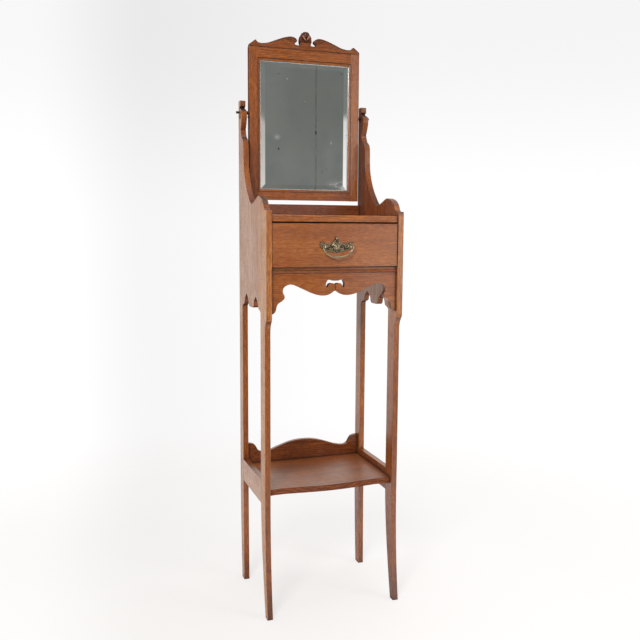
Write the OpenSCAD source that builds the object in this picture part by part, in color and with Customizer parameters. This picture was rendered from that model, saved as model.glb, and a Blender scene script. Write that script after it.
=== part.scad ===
// Victorian shaving stand: a narrow oak stand with a bow-front shelf below, a drawer case
// at waist height and a bevelled mirror that tilts between two shaped posts.
// Front faces -Y, +Z is up, the origin is on the floor under the middle of the whole stand.

/* [Case] */
// Width over the two side boards
case_w = 400; // [380:5:460]
// Depth from the back edge to the front edge of the side boards
case_d = 310; // [295:5:340]
// Thickness of the side boards, legs and mirror posts
side_t = 16; // [14:1:19]
// Height of the top surface of the top board above the floor
top_z = 1130; // [1090:5:1180]
// Thickness of the top board
top_t = 19; // [16:1:22]
// How far the top board stands back from the front edge of the sides
top_inset = 5; // [3:1:8]
// How far the thin boards at the back stand in from the back edge
back_inset = 4; // [2:1:8]
// Thickness of the board that closes the back of the case
back_t = 8; // [6:1:12]

/* [Legs] */
// Front-to-back width of a front leg between the case and its foot
leg_w = 45; // [38:1:48]
// Front-to-back width of a back leg
back_leg_w = 38; // [34:1:44]
// How far the front legs stand back below the case
leg_step = 17; // [10:1:24]
// Height of the shoulder where the front legs step back
shoulder_z = 853; // [840:1:880]
// Front-to-back width of a foot at the floor
foot_w = 21; // [18:1:30]
// How far a front foot sweeps forward of its leg
front_sweep = 24; // [10:1:36]
// How far a back foot sweeps forward of its leg
back_sweep = 16; // [8:1:32]

/* [Side arches] */
// Height of the flat tip of the pendant between the arches
pendant_z = 868; // [860:1:880]
// Width of the pendant between the arches
pendant_w = 56; // [46:1:64]
// Width of each pointed arch
arch_w = 52; // [44:1:56]
// Height of the point of each arch above the pendant's tip
arch_h = 35; // [26:1:46]

/* [Mirror posts] */
// Width of the block at the top of a post
block_w = 22; // [18:1:26]
// Height of that block
block_h = 17; // [12:1:22]
// Width of a post at its shoulder, round the pivot
shoulder_w = 40; // [34:1:44]
// Width of a post at its waist
waist_w = 24; // [20:1:30]
// Height of the block's top above the pivot
post_rise = 34; // [30:1:44]
// Height of the lowest point of the scooped top edge above the top board
scoop_h = 31; // [20:1:40]
// Height of the rounded ear in front of the scoop above the top board
ear_h = 51; // [42:1:60]
// Height of the front lip of a side board above the top board
lip_h = 12; // [8:1:16]

/* [Drawer] */
// Height of the drawer front
drawer_h = 118; // [100:1:125]
// Room between the drawer and the back of the case, filled by the drawer stops
drawer_room = 25; // [20:1:90]
// Thickness of the drawer front
front_t = 18; // [16:1:22]
// Thickness of the drawer sides and back
box_t = 11; // [9:1:13]
// Height of the drawer sides
box_h = 100; // [80:1:104]
// Thickness of the drawer bottom
bottom_t = 6; // [4:1:8]
// How far the drawer front stands back from the front edge of the sides
drawer_inset = 3; // [1:1:5]
// Gap above the drawer front
gap_top = 3; // [1:0.5:4]
// Gap on either side of the drawer
gap_side = 1.5; // [1:0.5:2]
// Gap below the drawer front
gap_bottom = 1.5; // [1:0.5:2.5]
// Number of dovetails at each front corner
tails = 4; // [3:1:5]
// Length of a dovetail
tail_l = 12; // [9:1:14]
// Height of the groove for the drawer bottom above the lower edge of the sides
groove_up = 10; // [6:1:14]
// Depth of that groove and of the housings for the drawer back
groove_deep = 5; // [3:0.5:6]

/* [Case front] */
// Thickness of the drawer rail
rail_t = 16; // [14:1:20]
// Depth of the drawer rail
rail_d = 60; // [45:1:80]
// Radius of the bead along the drawer rail's lower front edge
bead_r = 4; // [3:0.5:5]
// Thickness of the apron
apron_t = 16; // [12:1:18]
// How far the apron's face stands back from the front edge of the sides
apron_inset = 9; // [8:1:14]
// Height of the apron's ends above the floor
apron_z = 861; // [856:1:868]
// Width of the drawer runners
runner_w = 18; // [14:1:24]

/* [Lower shelf] */
// Height of the shelf's top surface
shelf_z = 366; // [330:1:420]
// Thickness of the shelf
shelf_t = 17; // [14:1:20]
// How far the shelf's front edge bows out in its middle
bow = 9; // [4:1:16]
// How far the ends of the shelf's front edge stand back from the leg's front edge
shelf_inset = 11; // [8:1:20]
// Height of the side rails
siderail_h = 66; // [50:1:80]
// Height of the side rails above the shelf
siderail_up = 20; // [12:1:30]
// Height of the scrolled gallery at its middle and ends
gallery_h = 63; // [50:1:80]
// Thickness of the scrolled gallery and of the low top gallery
gallery_t = 12; // [10:1:14]
// How far the scrolled gallery stands in from the back edge
gallery_inset = 9; // [6:1:14]
// Height of the low gallery behind the mirror
topgallery_h = 36; // [24:1:42]

/* [Mirror] */
// Gap between the mirror frame and each post
swing_gap = 11; // [10:1:14]
// Height of the mirror frame without its crest
frame_h = 444; // [400:2:480]
// Thickness of the frame
frame_t = 20; // [18:1:22]
// Width of the stiles
stile_w = 33.5; // [30:0.5:40]
// Width of the bottom rail
bottom_w = 32; // [28:1:40]
// Width of the top rail
toprail_w = 37; // [32:1:44]
// Length of the rails' tenons
tenon_l = 18; // [12:1:24]
// Thickness of the tenons
tenon_t = 7; // [5:0.5:8]
// Width of the moulding strip round the glass
strip_w = 7.5; // [7:0.5:10]
// Thickness of the lip over the glass
lip_t = 7; // [6:0.5:8]
// Depth of the glass rabbet into the frame
rabbet_w = 6.4; // [5:0.2:6.8]
// Gap between the top board and the mirror frame
frame_lift = 48; // [44:1:60]
// Height of the pivot above the bottom of the frame
pivot_up = 254; // [235:1:280]
// Distance of the pivot from the back edge of the stand
pivot_in = 16; // [15:1:20]
// Thickness of the crest board
crest_t = 14; // [10:1:16]
// Height of the carved shell above the frame
shell_h = 54; // [48:1:60]
// Thickness of the mirror glass
glass_t = 5; // [4:0.5:6]
// Width of the ground bevel round the glass
bevel_w = 15; // [10:1:20]
// Thickness of the backboard behind the glass
backboard_t = 3; // [3:0.5:5]

/* [Pivots] */
// Diameter of the pivot screws
screw_d = 5; // [4:0.5:6]
// Diameter of the ball head of a pivot screw
ball_d = 8; // [7:0.5:10]
// Thickness of the metal plates on the posts and the frame
plate_t = 1.8; // [1.2:0.2:2.4]
// Drop of the plates' screws below the pivot
plate_drop = 12; // [10:1:14]
// Length of the boss on each plate of the frame
boss_l = 6; // [4:0.5:7]
// Length of a pivot screw's shank inside the frame
screw_reach = 11; // [8:1:14]
// Thickness of the collars on a pivot screw
collar_t = 1.2; // [0.8:0.2:1.6]

/* [Drawer pull] */
// Distance between the posts of the pull
pull_w = 74; // [64:1:84]
// How far the bail hangs in front of the drawer
pull_out = 15; // [13:1:18]
// Drop of the bail below its pivots
bail_drop = 31; // [27:1:35]
// Diameter of the bail at its thickest
bail_d = 5.8; // [5:0.2:7]
// Distance of the pull's centre below the centre of the drawer front
pull_low = 5; // [0:1:8]
// Thickness of the pull's back plate
pullplate_t = 1.6; // [1.2:0.2:2]
// Diameter of the ball on each post of the pull
pullball_d = 8.5; // [7.5:0.5:10]
// Diameter of the bolts that hold the posts
bolt_d = 4; // [3:0.5:5]
// Diameter of the pins at the ends of the bail
bail_pin_d = 2.6; // [2:0.2:3]
// Radius of the bail at its ends
bail_end_r = 1.9; // [1.6:0.1:2.2]

/* [Clearances] */
// Gap between pieces that move past each other or rest on each other loosely
seat_gap = 0.3; // [0.2:0.05:0.5]
// Radial clearance of a pin in its bore
pin_gap = 0.08; // [0.05:0.01:0.1]
// Radial clearance of a bolt in its hole
bolt_gap = 0.1; // [0.05:0.05:0.2]
// Clearance round a dovetail, tenon or panel in its groove
joint_gap = 0.15; // [0.1:0.05:0.2]

/* [Hidden] */
$fn = 48;

OAK = [0.62, 0.38, 0.21];
OAK_DARK = [0.45, 0.25, 0.14];
POPLAR = [0.78, 0.66, 0.46];
BRASS = [0.55, 0.47, 0.32];
SILVER = [0.70, 0.74, 0.72];

// ---- places that several pieces share ----
inner_w = case_w - 2 * side_t;
pull_reach = pull_out + pullball_d / 2 - drawer_inset;  // the pull in front of the case
back_y = (case_d + pull_reach) / 2;         // back edge of the sides
// A depth is measured forward from the back edge; this turns it into Y.
function y_at(u) = back_y - u;

rail_back = case_d - leg_step - leg_w;      // back edge of a front leg
leg_front = case_d - leg_step;              // front edge of a front leg
mid_u = (back_leg_w + rail_back) / 2;       // middle of the gap between the legs
spring = pendant_w / 2 + arch_w;            // outer foot of an arch from that middle
front_joint = mid_u + spring;               // glue joint behind the front stave
back_joint = mid_u - spring;                // glue joint in front of the back stave

drawer_top = top_z - top_t - gap_top;
drawer_z = drawer_top - drawer_h;           // lower edge of the drawer front
drawer_rail_z = drawer_z - gap_bottom;      // top of the drawer rail and runners
apron_top = drawer_rail_z - rail_t;
drawer_face = case_d - drawer_inset;
box_w = inner_w - 2 * gap_side;
box_z = drawer_rail_z + seat_gap;           // lower edge of the drawer sides
box_back = back_inset + back_t + drawer_room;

siderail_top = shelf_z + siderail_up;
siderail_z = siderail_top - siderail_h;
shelf_back = gallery_inset;

frame_w = inner_w - 2 * swing_gap;
frame_z = top_z + frame_lift;
frame_top = frame_z + frame_h;
pivot_z = frame_z + pivot_up;
post_top = pivot_z + post_rise;
frame_back = pivot_in - frame_t / 2;
frame_front = pivot_in + frame_t / 2;
rim_cover = rabbet_w - seat_gap;            // the glass's rim behind the lip
lip_back = frame_front - lip_t;             // the glass rests against this
sight_w = frame_w - 2 * stile_w;
sight_h = frame_h - bottom_w - toprail_w;
sight_z = frame_z + bottom_w + sight_h / 2; // middle of the glass

pull_z = drawer_z + drawer_h / 2 - pull_low;
pull_y = y_at(drawer_face + pull_out);      // axis of the bail
bail_a = pull_w / 2 + pullball_d / 2 + seat_gap + bail_end_r;   // half its width
bolt_hole = bolt_d + 2 * bolt_gap;

// ---- curves ----
// Points of a smooth curve through the given points, n to each stretch.
function spline(p, n = 4) =
    let (last = len(p) - 1)
    [for (i = [0:last - 1])
        let (a = p[max(i - 1, 0)], b = p[i], c = p[i + 1], d = p[min(i + 2, last)])
        for (k = [0:n - 1])
            let (t = k / n)
            b + t / 2 * ((c - a) + t * ((2 * a - 5 * b + 4 * c - d)
              + t * (3 * b - a - 3 * c + d))),
     p[last]];
// Points of an arc round a centre.
function arc(centre, r, from, to, n = 8) =
    [for (i = [0:n]) let (a = from + (to - from) * i / n) centre + r * [cos(a), sin(a)]];
function reversed(p) = [for (i = [len(p) - 1:-1:0]) p[i]];
// The same points on the other side of the line x = at.
function flipped(p, at = 0) = reversed([for (q = p) [2 * at - q.x, q.y]]);

// ---- outlines of the side boards, as [depth from the back edge, height] ----
// Edge of a leg below the lower rail, sweeping forward to the foot.
function swept_edge(u, z0, sweep, power) =
    [for (i = [10:-1:0]) let (z = z0 * i / 10) [u + sweep * pow(1 - z / z0, power), z]];

// Block, neck, shoulder, waist and scoop of a mirror post, back to front.
function post_edge() = concat(
    [[0, post_top]],
    arc([block_w - 2, post_top - 2], 2, 90, 0, 4),
    [[block_w, post_top - block_h + 2]],
    spline([[block_w - 1.5, post_top - block_h],
            [block_w - 9, post_top - block_h - 4],
            [shoulder_w - 8, pivot_z + 5],
            [shoulder_w - 1, pivot_z - 2],
            [shoulder_w, pivot_z - 14],
            [shoulder_w - 6, pivot_z - 32],
            [waist_w, pivot_z - 50]], 3),
    [[waist_w + 2.5, pivot_z - 53]],
    spline([[waist_w + 2.5, pivot_z - 58],
            [waist_w + 12, pivot_z - 73],
            [waist_w + 25, pivot_z - 81],
            [waist_w + 32, pivot_z - 94],
            [waist_w + 33.5, pivot_z - 116],
            [waist_w + 34.5, pivot_z - 142],
            [waist_w + 40, pivot_z - 170],
            [waist_w + 52, pivot_z - 197],
            [case_d / 2 - 61, top_z + scoop_h + 47],
            [case_d / 2 - 39, top_z + scoop_h + 24],
            [case_d / 2 - 19, top_z + scoop_h + 7],
            [case_d / 2, top_z + scoop_h]], 3));

// Scoop, ear and lip of a side board, back to front.
function ear_edge() = concat(
    spline([[case_d / 2, top_z + scoop_h],
            [case_d / 2 + 18, top_z + scoop_h + 4],
            [case_d - 113, top_z + ear_h - 8],
            [case_d - 88, top_z + ear_h],
            [case_d - 68, top_z + ear_h - 2],
            [case_d - 46, top_z + ear_h - 10],
            [case_d - 33, top_z + ear_h - 21],
            [case_d - 25, top_z + lip_h + 5],
            [case_d - 20, top_z + lip_h + 1]], 4),
    [[case_d - 15, top_z + lip_h]],
    arc([case_d - 5, top_z + lip_h - 5], 5, 90, 0, 5));

// Shoulder where a front leg steps back below the case.
function shoulder_edge() =
    spline([[case_d, shoulder_z],
            [case_d - 2, shoulder_z - 8],
            [case_d - 8, shoulder_z - 15],
            [case_d - leg_step + 4, shoulder_z - 23],
            [case_d - leg_step, shoulder_z - 38]], 3);

// Ledge and pointed arch from a leg's edge to the middle of the pendant, for the front
// half; the back half is its mirror image.
function arch_edge() = let (
        base = pendant_z + 6.5,
        half = arch_w / 2,
        point_u = mid_u + spring - half,
        point_z = pendant_z + arch_h)
    concat(
        spline([[rail_back, pendant_z - 6], [rail_back - 8, pendant_z - 1],
                [mid_u + spring + 4, base - 4], [mid_u + spring, base]], 3),
        spline([[mid_u + spring, base], [mid_u + spring - 5, base + 13],
                [point_u + 11, point_z - 8], [point_u, point_z]], 3),
        spline([[point_u, point_z], [point_u - 11, point_z - 8],
                [point_u - half + 5, base + 13], [point_u - half, base]], 3),
        spline([[point_u - half, base], [point_u - half - 4, pendant_z + 2],
                [point_u - half - 11, pendant_z]], 3));

module side_outline() {
    feet_top = siderail_z;
    half_arch = arch_edge();
    polygon(concat(
        post_edge(), ear_edge(), shoulder_edge(),
        swept_edge(leg_front, feet_top, front_sweep, 2),
        reversed(swept_edge(rail_back, feet_top, leg_w - foot_w + front_sweep, 1.5)),
        half_arch, flipped(half_arch, mid_u),
        swept_edge(back_leg_w, feet_top, back_sweep + foot_w - back_leg_w + 6, 1.2),
        reversed(swept_edge(0, feet_top, back_sweep, 1.5))));
}

// Puts a [depth, height] shape upright as a board of the given thickness,
// with its middle at x.
module upright(x, t) {
    translate([x, back_y, 0]) rotate([90, 0, -90])
        linear_extrude(t, center = true) children();
}

// One glued-up stave of a side board, between two depths.
module stave(side, from_u, to_u) {
    upright(side * (case_w - side_t) / 2, side_t)
        intersection() {
            side_outline();
            translate([from_u, -1]) square([to_u - from_u, post_top + 2]);
        }
}

module front_leg(side) {
    color(OAK) stave(side, front_joint, case_d + front_sweep);
}

module side_panel(side) {
    color(OAK) stave(side, back_joint, front_joint);
}

module back_post(side) {
    color(OAK) difference() {
        stave(side, -1, back_joint);
        translate([side * case_w / 2, y_at(pivot_in), pivot_z])
            rotate([0, 90, 0])
                cylinder(d = screw_d + 2 * pin_gap, h = 3 * side_t, center = true);
    }
}

module side_rail(side) {
    color(OAK) upright(side * (case_w - side_t) / 2, side_t)
        translate([back_leg_w, siderail_z])
            square([rail_back - back_leg_w, siderail_h]);
}

// A board between two depths and two heights, centred on the stand.
module board(w, from_u, to_u, from_z, to_z) {
    translate([-w / 2, y_at(to_u), from_z]) cube([w, to_u - from_u, to_z - from_z]);
}

// The same, against one side board on the inside.
module inside_strip(side, w, from_u, to_u, from_z, to_z) {
    translate([side * (inner_w - w) / 2, 0, 0]) board(w, from_u, to_u, from_z, to_z);
}

// ---- case ----
module top_board() {
    edge_r = 2.5;
    front = case_d - top_inset;
    color(OAK) translate([-inner_w / 2, back_y, 0]) rotate([90, 0, 90])
        linear_extrude(inner_w)
            polygon(concat(
                [[-back_inset, top_z - top_t]],
                arc([edge_r - front, top_z - top_t + edge_r], edge_r, 270, 180, 4),
                arc([edge_r - front, top_z - edge_r], edge_r, 180, 90, 4),
                [[-back_inset, top_z]]));
}

module top_gallery() {
    color(OAK) board(inner_w, back_inset, back_inset + gallery_t, top_z,
                     top_z + topgallery_h);
}

module case_back() {
    color(POPLAR) board(inner_w, back_inset, back_inset + back_t, apron_top,
                        top_z - top_t);
}

// Drawer rail: its upper front edge is set back in the drawer's shadow, and a bead runs
// along the lower one.
module drawer_rail() {
    recess = apron_inset;
    front = case_d - apron_inset + bead_r;
    color(OAK) translate([-inner_w / 2, back_y, 0]) rotate([90, 0, 90])
        linear_extrude(inner_w)
            polygon(concat(
                [[recess - case_d + rail_d, drawer_rail_z], [recess - case_d, drawer_rail_z],
                 [recess - case_d, apron_top + 2 * bead_r + 1]],
                arc([bead_r - front, apron_top + bead_r], bead_r, 90, 270, 10),
                [[recess - case_d + rail_d, apron_top]]));
}

// Lower edge of the apron from its left end to its middle: bracket, lobe, arch and the
// long slope down to the scrolls.
function apron_half() = let (e = inner_w / 2, z = apron_z) concat(
    spline([[-e, z], [8 - e, z + 4], [13 - e, z + 11], [15.5 - e, z + 22],
            [20 - e, z + 30], [29 - e, z + 36], [37 - e, z + 43],
            [37.5 - e, z + 51], [33.5 - e, z + 59], [33.5 - e, z + 69],
            [40 - e, z + 77], [53 - e, z + 81.5], [66 - e, z + 79.5]], 3),
    spline([[-96, z + 69.5], [-70, z + 57.5], [-50, z + 51], [-33, z + 49.5],
            [-20, z + 51.5], [-9, z + 57.5], [0, z + 64]], 3));

// Half of the pierced opening: a slot that curls down round a scroll at its end.
function slot_half() = let (z = apron_z) spline(
    [[0, z + 90], [-8, z + 90], [-13, z + 91.5], [-18, z + 93], [-23, z + 91],
     [-27, z + 84], [-27.5, z + 77], [-25, z + 71.5], [-21.5, z + 73.5],
     [-19.5, z + 78], [-16.5, z + 82], [-11, z + 83.5], [-5, z + 82.5],
     [0, z + 79]], 3);

module front_apron() {
    kerf = 1.2;
    kerf_h = 22;                     // the saw cut between the two scrolls
    kerf_up = 60;
    edge = apron_half();
    slot = slot_half();
    color(OAK) translate([0, y_at(case_d - apron_inset), 0]) rotate([90, 0, 0])
        translate([0, 0, -apron_t]) linear_extrude(apron_t) difference() {
            polygon(concat([[-inner_w / 2, apron_top]], edge, flipped(edge),
                           [[inner_w / 2, apron_top]]));
            polygon(concat(slot, flipped(slot)));
            translate([-kerf / 2, apron_z + kerf_up]) square([kerf, kerf_h]);
        }
}

module runner(side) {
    color(POPLAR) inside_strip(side, runner_w, back_inset + back_t,
                               case_d - apron_inset - rail_d, apron_top, drawer_rail_z);
}

module drawer_stops() {
    stop_h = 20;
    color(POPLAR) for (side = [-1, 1])
        inside_strip(side, runner_w, back_inset + back_t, box_back - seat_gap,
                     drawer_rail_z, drawer_rail_z + stop_h);
}

// Three-cornered glue blocks behind the apron, under the drawer rail.
module apron_blocks() {
    leg = 18;
    block_l = 40;
    back_face = case_d - apron_inset - apron_t;
    color(POPLAR) for (x = [-inner_w / 3, inner_w / 3])
        translate([x - block_l / 2, y_at(back_face), 0]) rotate([90, 0, 90])
            linear_extrude(block_l)
                polygon([[0, apron_top], [leg, apron_top], [0, apron_top - leg]]);
}

// ---- lower shelf ----
// Front edge of the shelf from one end to its middle: a slight hollow, then the bow.
function shelf_edge() = let (e = inner_w / 2, u = leg_front - shelf_inset) spline(
    [[-e, -u], [20 - e, 1.5 - u], [46 - e, 2 - u], [76 - e, -bow * 0.1 - u],
     [-72, -bow * 0.52 - u], [-36, -bow * 0.86 - u], [0, -bow - u]], 4);

module shelf() {
    edge = shelf_edge();
    color(OAK_DARK) translate([0, back_y, shelf_z - shelf_t]) linear_extrude(shelf_t)
        polygon(concat([[-inner_w / 2, -shelf_back]], edge, flipped(edge),
                       [[inner_w / 2, -shelf_back]]));
}

// Scrolled top edge of the shelf gallery, from its left end to its middle.
function gallery_half() = let (e = inner_w / 2, z = shelf_z + gallery_h) concat(
    spline([[-e, z + 1], [14 - e, z], [24 - e, z - 5], [30 - e, z - 14],
            [36 - e, z - 24], [46 - e, z - 28.5], [60 - e, z - 28.5]], 3),
    spline([[-103, z - 24], [-74, z - 13.5], [-46, z - 5], [-22, z - 0.8], [0, z]], 3));

module shelf_gallery() {
    edge = gallery_half();
    color(OAK_DARK) translate([0, y_at(gallery_inset), 0]) rotate([90, 0, 0])
        linear_extrude(gallery_t)
            polygon(concat([[-inner_w / 2, shelf_z]], edge, flipped(edge),
                           [[inner_w / 2, shelf_z]]));
}

module shelf_cleats() {
    cleat = 12;
    color(POPLAR) for (side = [-1, 1])
        inside_strip(side, cleat, back_leg_w + 20, rail_back - 20,
                     shelf_z - shelf_t - cleat, shelf_z - shelf_t);
}

// ---- mirror ----
// Section of a frame member: across from the glass edge, and forward of the glass.
function flat_section(w) =
    [[strip_w, lip_t - frame_t], [w, lip_t - frame_t], [w, lip_t], [strip_w, lip_t]];
function strip_section() = concat(
    [[strip_w, lip_t - frame_t], [strip_w, lip_t - 1.4]],
    arc([strip_w - 6, lip_t - 5.2], 3.8, 90, 180, 6),
    [[0, 2], [0, 0], [rabbet_w, 0], [rabbet_w, lip_t - frame_t]]);

// A frame member along Z, its glass edge at x = 0 and its outer edge at x = w. The
// moulding strip is mitred into the next member's; the flat behind it is as long as
// flat_l.
module frame_member(w, sight, flat_l) {
    linear_extrude(flat_l, center = true) polygon(flat_section(w));
    intersection() {
        linear_extrude(sight + 2 * strip_w, center = true) polygon(strip_section());
        rotate([90, 0, 0]) linear_extrude(4 * frame_t, center = true)
            polygon([[0, -sight / 2], [strip_w, -sight / 2 - strip_w],
                     [strip_w, sight / 2 + strip_w], [0, sight / 2]]);
    }
}

// Stands a frame member up beside the glass; its section's second axis points forward.
module beside_glass(side) {
    translate([side * sight_w / 2, y_at(lip_back), sight_z])
        scale([side, 1, 1]) mirror([0, 1, 0]) children();
}

module tenon(w, gap = 0) {
    cube([w - 2 * strip_w - 1 + 2 * gap, tenon_t + 2 * gap, 2 * (tenon_l + gap)],
         center = true);
}

module rail_tenons(w, gap = 0) {
    for (side = [-1, 1])
        translate([side * (sight_w / 2 + strip_w), y_at(pivot_in - 4), 0])
            rotate([0, 90, 0]) tenon(w, gap);
}

module mirror_stile(side) {
    stile_mid = frame_z + frame_h / 2;
    bore_l = screw_reach + 2;        // leaves room beyond the tip of the screw
    color(OAK) difference() {
        union() {
            beside_glass(side) frame_member_strip(stile_w);
            translate([side * (frame_w - stile_w + strip_w) / 2,
                       y_at(pivot_in), stile_mid])
                cube([stile_w - strip_w, frame_t, frame_h], center = true);
        }
        translate([0, 0, frame_z + bottom_w / 2]) rail_tenons(bottom_w, joint_gap);
        translate([0, 0, frame_top - toprail_w / 2]) rail_tenons(toprail_w, joint_gap);
        translate([side * frame_w / 2, y_at(pivot_in), pivot_z]) rotate([0, 90, 0])
            cylinder(d = screw_d + 2 * pin_gap, h = 2 * bore_l, center = true);
    }
}

// The mitred moulding strip of a stile, without its flat.
module frame_member_strip(w) {
    intersection() {
        frame_member(w, sight_h, sight_h);
        translate([strip_w / 2, 0, 0])
            cube([strip_w, 4 * frame_t, 2 * frame_h], center = true);
    }
}

// A rail: its sight edge faces the glass, its ends butt against the stiles.
module frame_rail(up, w) {
    translate([0, y_at(lip_back), sight_z + up * sight_h / 2])
        rotate([0, -90 * up, 0]) mirror([0, 1, 0])
            frame_member(w, sight_w, sight_w + 2 * strip_w);
    translate([0, 0, sight_z + up * (sight_h + w) / 2]) rail_tenons(w);
}

module mirror_top_rail() {
    color(OAK) frame_rail(1, toprail_w);
}

module mirror_bottom_rail() {
    color(OAK) frame_rail(-1, bottom_w);
}

// Upper edge of the crest from its left end to its middle, above the frame: horn, long
// slope, scroll, pierced gap and the foot of the shell.
function crest_half() = let (e = frame_w / 2) concat(
    [[-e, 0], [-e, 3]],
    spline([[1 - e, 7], [6 - e, 10.5], [13 - e, 16], [19 - e, 20]], 3),
    spline([[20 - e, 19.5], [25 - e, 14], [34 - e, 11.5], [46 - e, 12], [60 - e, 15]], 3),
    spline([[-88, 25], [-66, 33], [-50, 36.5], [-40, 36.5], [-31, 33], [-26.5, 27.5],
            [-28, 22.5], [-33, 19], [-33, 15.5], [-27, 13.5], [-20, 13.5],
            [-15.5, 16.5], [-17, 20], [-18.5, 24]], 3));

// Half of the shell's outline above the frame, from the top round to its foot.
function shell_half() = let (h = shell_h) spline(
    [[0, h], [5.5, h - 1.5], [12, h - 8], [16.5, h - 16], [18.5, h - 24], [18, h - 31],
     [16, h - 38]], 3);

// The shell's flutes: lobes that fan out from its foot, each a slim cone with a round end.
module shell_lobes() {
    lobes = 7;
    fan = 60;
    foot_z = 19;
    tip_r = 4;
    for (i = [0:lobes - 1]) {
        a = -fan + 2 * fan * i / (lobes - 1);
        reach = (shell_h - foot_z) * (1 - 0.55 * pow(sin(a), 2)) - tip_r;
        translate([0, 0, foot_z]) rotate([0, a, 0]) {
            cylinder(r1 = 1.2, r2 = tip_r, h = reach);
            translate([0, 0, reach]) sphere(r = tip_r);
        }
    }
}

module mirror_crest() {
    edge = crest_half();
    shell = shell_half();
    relief = 2.2;                    // how far the lobes' axes lie behind the face
    color(OAK) translate([0, y_at(frame_front), frame_top]) {
        rotate([90, 0, 0]) translate([0, 0, -crest_t]) linear_extrude(crest_t) union() {
            polygon(concat(edge, flipped(edge)));
            polygon(concat(shell, flipped(shell)));
        }
        translate([0, relief, 0]) shell_lobes();
    }
}

// Bevelled glass: a flat rim under the lip, and a ground bevel up to the raised middle.
module mirror_glass() {
    rim_t = glass_t - 3;
    bevel_h = glass_t - rim_t;
    color(SILVER) translate([0, y_at(lip_back), sight_z]) rotate([90, 0, 0]) {
        translate([0, 0, -rim_t / 2])
            cube([sight_w + 2 * rim_cover, sight_h + 2 * rim_cover, rim_t], center = true);
        hull() {
            translate([0, 0, -rim_t / 4]) cube([sight_w, sight_h, rim_t / 2], center = true);
            translate([0, 0, bevel_h - 0.1])
                cube([sight_w - 2 * bevel_w, sight_h - 2 * bevel_w, 0.2], center = true);
        }
    }
}

module mirror_backboard() {
    glass_back = lip_back - (glass_t - 3);
    color(POPLAR) translate([0, y_at(glass_back - backboard_t / 2), sight_z])
        cube([sight_w + 2 * rim_cover, backboard_t, sight_h + 2 * rim_cover],
             center = true);
}

// ---- pivots ----
// A thin upright plate with a hole at the pivot, and a round-headed screw below it.
module pivot_plate_flat() {
    wide = 11;
    difference() {
        union() {
            translate([plate_drop / 2, 0, plate_t / 2])
                cube([plate_drop, wide, plate_t], center = true);
            cylinder(d = wide, h = plate_t);
            translate([plate_drop, 0, 0]) cylinder(d = wide, h = plate_t);
            translate([plate_drop, 0, plate_t]) cylinder(r1 = 2.8, r2 = 1.6, h = 1.8);
        }
        translate([0, 0, -1]) cylinder(d = screw_d + 2 * pin_gap, h = 2 * plate_t + 2);
    }
}

// Places something at a pivot, its Z axis pointing out of the stand on that side.
module at_pivot(side, x) {
    translate([side * x, y_at(pivot_in), pivot_z])
        rotate([0, side * 90, 0]) scale([side, 1, 1]) children();
}

module post_plates() {
    color(BRASS) for (side = [-1, 1])
        at_pivot(side, case_w / 2) pivot_plate_flat();
}

module pivot_plates() {
    color(BRASS) for (side = [-1, 1]) at_pivot(side, frame_w / 2) {
        pivot_plate_flat();
        translate([0, 0, plate_t]) difference() {
            cylinder(d = 10, h = boss_l);
            translate([0, 0, -1]) cylinder(d = screw_d + 2 * pin_gap, h = boss_l + 2);
        }
    }
}

// Pivot screw: a shank through post and plates, a collar that bears on the outer plate
// and one that bears on the post inside, and a slotted ball head.
module pivot_screw(side) {
    outside = case_w / 2 + plate_t + seat_gap;
    from = frame_w / 2 - screw_reach;
    collar_x = inner_w / 2 - seat_gap - collar_t;
    color(BRASS) at_pivot(side, 0) difference() {
        union() {
            translate([0, 0, from]) cylinder(d = screw_d, h = outside - from + 4);
            translate([0, 0, collar_x]) cylinder(d = 10, h = collar_t);
            translate([0, 0, outside]) cylinder(d = 9, h = collar_t);
            translate([0, 0, outside + collar_t + ball_d / 2 + 0.6]) sphere(d = ball_d);
        }
        translate([0, 0, outside + collar_t + ball_d + 0.6])
            cube([1.2, ball_d + 2, 4], center = true);
    }
}

// ---- drawer ----
// Dovetails of one front corner, as a [depth, height] shape, grown by gap.
module tail_outline(gap = 0) {
    pitch = box_h / tails;
    root = pitch * 0.52;
    flare = 2 * tail_l * tan(9);
    back = drawer_face - front_t;
    for (i = [0:tails - 1]) {
        z = box_z + pitch * (i + 0.5);
        polygon([[back - (gap > 0 ? 1 : 0), z - root / 2 - gap],
                 [back + tail_l + gap, z - (root + flare) / 2 - gap],
                 [back + tail_l + gap, z + (root + flare) / 2 + gap],
                 [back - (gap > 0 ? 1 : 0), z + root / 2 + gap]]);
    }
}

module drawer_side(side) {
    back = drawer_face - front_t;
    x = side * (box_w - box_t) / 2;
    color(POPLAR) difference() {
        upright(x, box_t) {
            translate([box_back, box_z]) square([back - box_back, box_h]);
            tail_outline();
        }
        drawer_bottom_panel(joint_gap);
        drawer_back_board(joint_gap);
    }
}

// The back sits in a housing in each side; the bottom slides in under it.
module drawer_back_board(gap = 0) {
    low = box_z + groove_up + bottom_t;
    board(box_w - 2 * box_t + 2 * groove_deep + 2 * gap, box_back - (gap > 0 ? 1 : 0),
          box_back + box_t + gap, low - (gap > 0 ? 1 : 0), box_z + box_h + gap * 2);
}

module drawer_bottom_panel(gap = 0) {
    board(box_w - 2 * box_t + 2 * groove_deep + 2 * gap, box_back - (gap > 0 ? 1 : 0),
          drawer_face - front_t + groove_deep + gap,
          box_z + groove_up - gap, box_z + groove_up + bottom_t + gap);
}

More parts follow.
